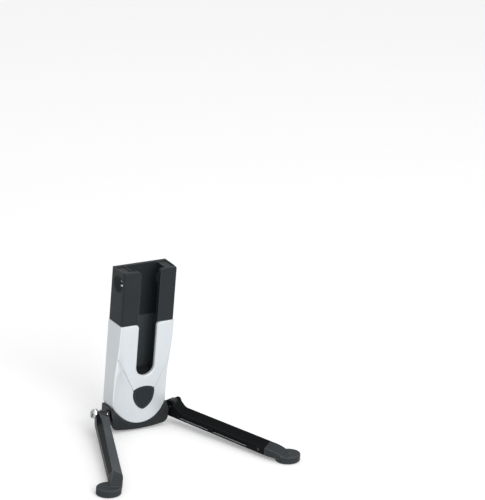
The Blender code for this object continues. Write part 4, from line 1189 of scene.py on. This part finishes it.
# Each pin's head, by its radius, rise, tilt and finish.
PIN_HEADS = {
    "left": (0.0050, 0.0050, math.radians(-25), CHROME),
    "right": (0.0032, 0.0014, 0.0, DARK_STEEL),
}
for side, label in ((1, "right"), (-1, "left")):
    at_pivot = pivot_frame(side)
    slope = Matrix.Rotation(LEG_SLOPE, 4, "Y")
    on_leg = at_pivot @ slope
    root = [-ROOT_ROUND * math.cos(math.pi / 2 * i / ROOT_STEPS) for i in range(ROOT_STEPS)]
    stations = root + spread(0.0, ROOT_RUN, ROOT_PITCH) + [LEG_LENGTH]
    leg = loft([leg_section(side, x) for x in stations])
    fork = bar((-ROOT_ROUND - PAST, -FORK_HALF, FORK_LOW), (FORK_REACH, FORK_HALF, FORK_HIGH))
    nut_seat = -side * (LEG_HALF - ROOT_SHIFT - NUT_DEPTH - GAP)
    leg_steps = [
        (CUT, fork),
        (CUT, rod((0, -SIDE_REACH, 0), (0, SIDE_REACH, 0), PIN_RADIUS + PIN_PLAY)),
        (CUT, rod((0, -side * SIDE_REACH, 0), (0, nut_seat, 0), NUT_RADIUS + NUT_PLAY)),
        (CUT, rivet_bore()),
    ]
    for begin, end in POCKETS:
        hollow = bar((begin, -side * SIDE_REACH, POCKET_LOW), (end, -side * POCKET_FLOOR, POCKET_HIGH))
        hollow_edges = [e for e in hollow.edges if abs(e.verts[0].co.y - e.verts[1].co.y) > GAP]
        rounded(hollow, hollow_edges, POCKET_ROUND, 4)
        leg_steps.append((CUT, hollow))
    leg = moved(carve(leg, *leg_steps), on_leg)
    # Each leg has its own copy of the material, for the painted light on its inner slope.
    black = anodised("black_anodised_" + label, side, SLOPE_PAINTED_LIGHT[label])
    fit("leg_bar_" + label, leg, black, label + "_leg", "leg_" + label, edge=0.0005)

    # Foot: the boot's neck keeps the leg's ridge, curves down and narrows to the sole, and a
    # rivet holds the boot's tenon in the leg.
    sole = Vector((LEG_LENGTH * math.cos(LEG_SLOPE) + SOLE_REACH, side * SOLE_OFFSET, -PIVOT.z))
    end_low = sole.z + SOLE_THICK / 2
    end_high = sole.z + SOLE_THICK + NECK_PROUD
    rings = []
    for share in [i / NECK_RINGS for i in range(NECK_RINGS + 1)]:
        ring = []
        for point in leg_section(side, LEG_LENGTH + GAP):
            place = slope @ point
            rise = (point.z - LEG_LOW) / LEG_RISE
            low = place.z - rise * LEG_RISE
            high = low + LEG_RISE
            low += (end_low - low) * share
            high = end_high + (high - end_high) * math.sqrt(1 - share * share)
            y = place.y * (1 + NECK_WIDEN * share) + side * NECK_OFFSET * share * share
            ring.append(Vector((place.x + NECK_REACH * share, y, low + (high - low) * rise)))
        rings.append(ring)
    boot = loft(rings)
    tread = [
        (0.0, 0.0),
        (SOLE_RADIUS - TREAD_EASE, 0.0),
        (SOLE_RADIUS, TREAD_RISE),
        (SOLE_RADIUS, SOLE_THICK - SOLE_EASE),
        (SOLE_RADIUS - SOLE_EASE, SOLE_THICK),
        (0.0, SOLE_THICK),
    ]
    disc = turned(tread, sole, (0, 0, 1), steps=96)
    back_way = at_pivot.to_3x3().inverted() @ Vector((0, 1, 0))
    moved(disc, -sole)
    moved(disc, Matrix.Scale(SOLE_SHORT, 4, back_way))
    moved(disc, sole - back_way * SOLE_FORWARD)
    tenon_low = (LEG_LENGTH - TENON_LENGTH, -TENON_HALF, TENON_Z - TENON_RISE)
    tenon_high = (LEG_LENGTH + TENON_ROOT, TENON_HALF, TENON_Z + TENON_RISE)
    tenon = moved(bar(tenon_low, tenon_high), slope)
    boot = carve(boot, (JOIN, disc), (JOIN, tenon), (CUT, moved(rivet_bore(), slope)))
    moved(boot, at_pivot)
    fit("boot_" + label, boot, BOOT_RUBBER, label + "_leg", "foot_" + label, edge=0.0006)

    # Hinge pin, nut, washers and the foot's rivet, all steel
    outward = (at_pivot.to_3x3() @ Vector((0, side, 0))).normalized()
    pin_at = at_pivot.translation
    pin_end = 2 * GAP + ROOT_SHIFT - LEG_HALF
    head_at = LEG_HALF + ROOT_SHIFT + GAP
    head_radius, head_rise, head_tilt, head_finish = PIN_HEADS[label]
    pin_points = [
        (0.0, pin_end),
        (PIN_RADIUS - EASE, pin_end),
        (PIN_RADIUS, pin_end + EASE),
        (PIN_RADIUS, head_at),
        (head_radius - EASE, head_at),
    ]
    pin_points += dome(head_radius, head_at + EASE, head_rise - EASE, 14)
    pin = turned(pin_points, pin_at, outward, steps=64)
    head_middle = Matrix.Translation((0, side * head_at, 0))
    in_place = at_pivot @ head_middle
    tilt = in_place @ Matrix.Rotation(head_tilt, 4, "X") @ in_place.inverted()
    for vert in pin.verts:
        reach = vert.co - pin_at
        if reach.dot(outward) > head_at - EASE and reach.length > PIN_RADIUS + head_at / 2:
            vert.co = tilt @ vert.co
    fit("dome_pin_" + label, pin, head_finish, label + "_leg", "pivot_pin_" + label)
    ring_bore = PIN_RADIUS + NUT_PLAY
    nut_at = ROOT_SHIFT + GAP - LEG_HALF
    nut = turned(collar(ring_bore, NUT_RADIUS, nut_at, nut_at + NUT_DEPTH), pin_at, outward)
    fit("nut_ring_" + label, nut, DARK_STEEL, label + "_leg", "pivot_nut_" + label)
    for tag, low in WASHERS:
        washer_points = collar(ring_bore, WASHER_RADIUS, low, low + WASHER_THICK, WASHER_EASE)
        washer = turned(washer_points, pin_at, outward)
        name = tag + "_" + label
        fit("washer_" + name, washer, DARK_STEEL, label + "_leg", "pivot_washer_" + name)
    rivet_points = [
        (0.0, -RIVET_HALF),
        (RIVET_RADIUS - EASE, -RIVET_HALF),
        (RIVET_RADIUS, -RIVET_HALF + EASE),
        (RIVET_RADIUS, RIVET_HALF - EASE),
        (RIVET_RADIUS - EASE, RIVET_HALF),
        (0.0, RIVET_HALF),
    ]
    rivet = turned(rivet_points, on_leg @ Vector((RIVET_X, 0, TENON_Z)), outward, steps=32)
    fit("rivet_" + label, rivet, DARK_STEEL, label + "_leg", "foot_rivet_" + label)

# Heel pad and hidden screws: a grooved rubber sole plugged into the base, and the steel screws
# that hold the base, seen only from below, and the block, seen from no side.
HEEL_PLUG_LOW = 0.001
HEEL_PLUG_HIGH = 0.0052
HEEL_PLUG_RADIUS = 0.0030
HEEL_MARGIN = 0.002
HEEL_PITCH = 0.0025
HEEL_GROOVE_DEPTH = 0.0007
heel_y = (HEEL_FRONT + HEEL_BACK) / 2
heel = bar((-HEEL_HALF, HEEL_FRONT, 0.0), (HEEL_HALF, HEEL_BACK, HEEL_TOP))
plug = rod((0, heel_y, HEEL_PLUG_LOW), (0, heel_y, HEEL_PLUG_HIGH), HEEL_PLUG_RADIUS)
heel_steps = [(JOIN, plug)]
for y in spread(HEEL_FRONT + HEEL_MARGIN, HEEL_BACK - HEEL_MARGIN, HEEL_PITCH):
    groove_low = (-HEEL_HALF - PAST, y - GROOVE_HALF, -PAST)
    groove_high = (HEEL_HALF + PAST, y + GROOVE_HALF, HEEL_GROOVE_DEPTH)
    heel_steps.append((CUT, bar(groove_low, groove_high)))
heel = carve(heel, *heel_steps)
fit("heel_sole", heel, BOOT_RUBBER, "stand_body", "heel_pad", edge=0.0003, steps=2)
CAP_RADIUS = 0.0025
CAP_SHANK = 0.0015
CAP_SOCKET = 0.0024
CAP_SOCKET_DEPTH = 0.0013
# Each kind of screw, by its name, its place to the side, its two ends and the height of its head.
CAP_SCREWS = (
    ("base_screw_", BASE_SCREW_X, 0.0036, 0.0252, 0.0026),
    ("block_screw_", COVER_SCREW_X, 0.1002, 0.1158, 0.0025),
)
for side, label in ((1, "right"), (-1, "left")):
    for name, x, low, high, cap in CAP_SCREWS:
        cap_points = [
            (0.0, 0.0),
            (CAP_RADIUS - EASE, 0.0),
            (CAP_RADIUS, EASE),
            (CAP_RADIUS, cap),
            (CAP_SHANK, cap),
            (CAP_SHANK, high - low),
            (0.0, high - low),
        ]
        foot_of = Vector((side * x, 0, low))
        socket = hex_socket(foot_of, (0, 0, 1), CAP_SOCKET, CAP_SOCKET_DEPTH)
        screw = carve(turned(cap_points, foot_of, (0, 0, 1)), (CUT, socket))
        fit("cap_" + name + label, screw, ZINC, "stand_body", name + label)
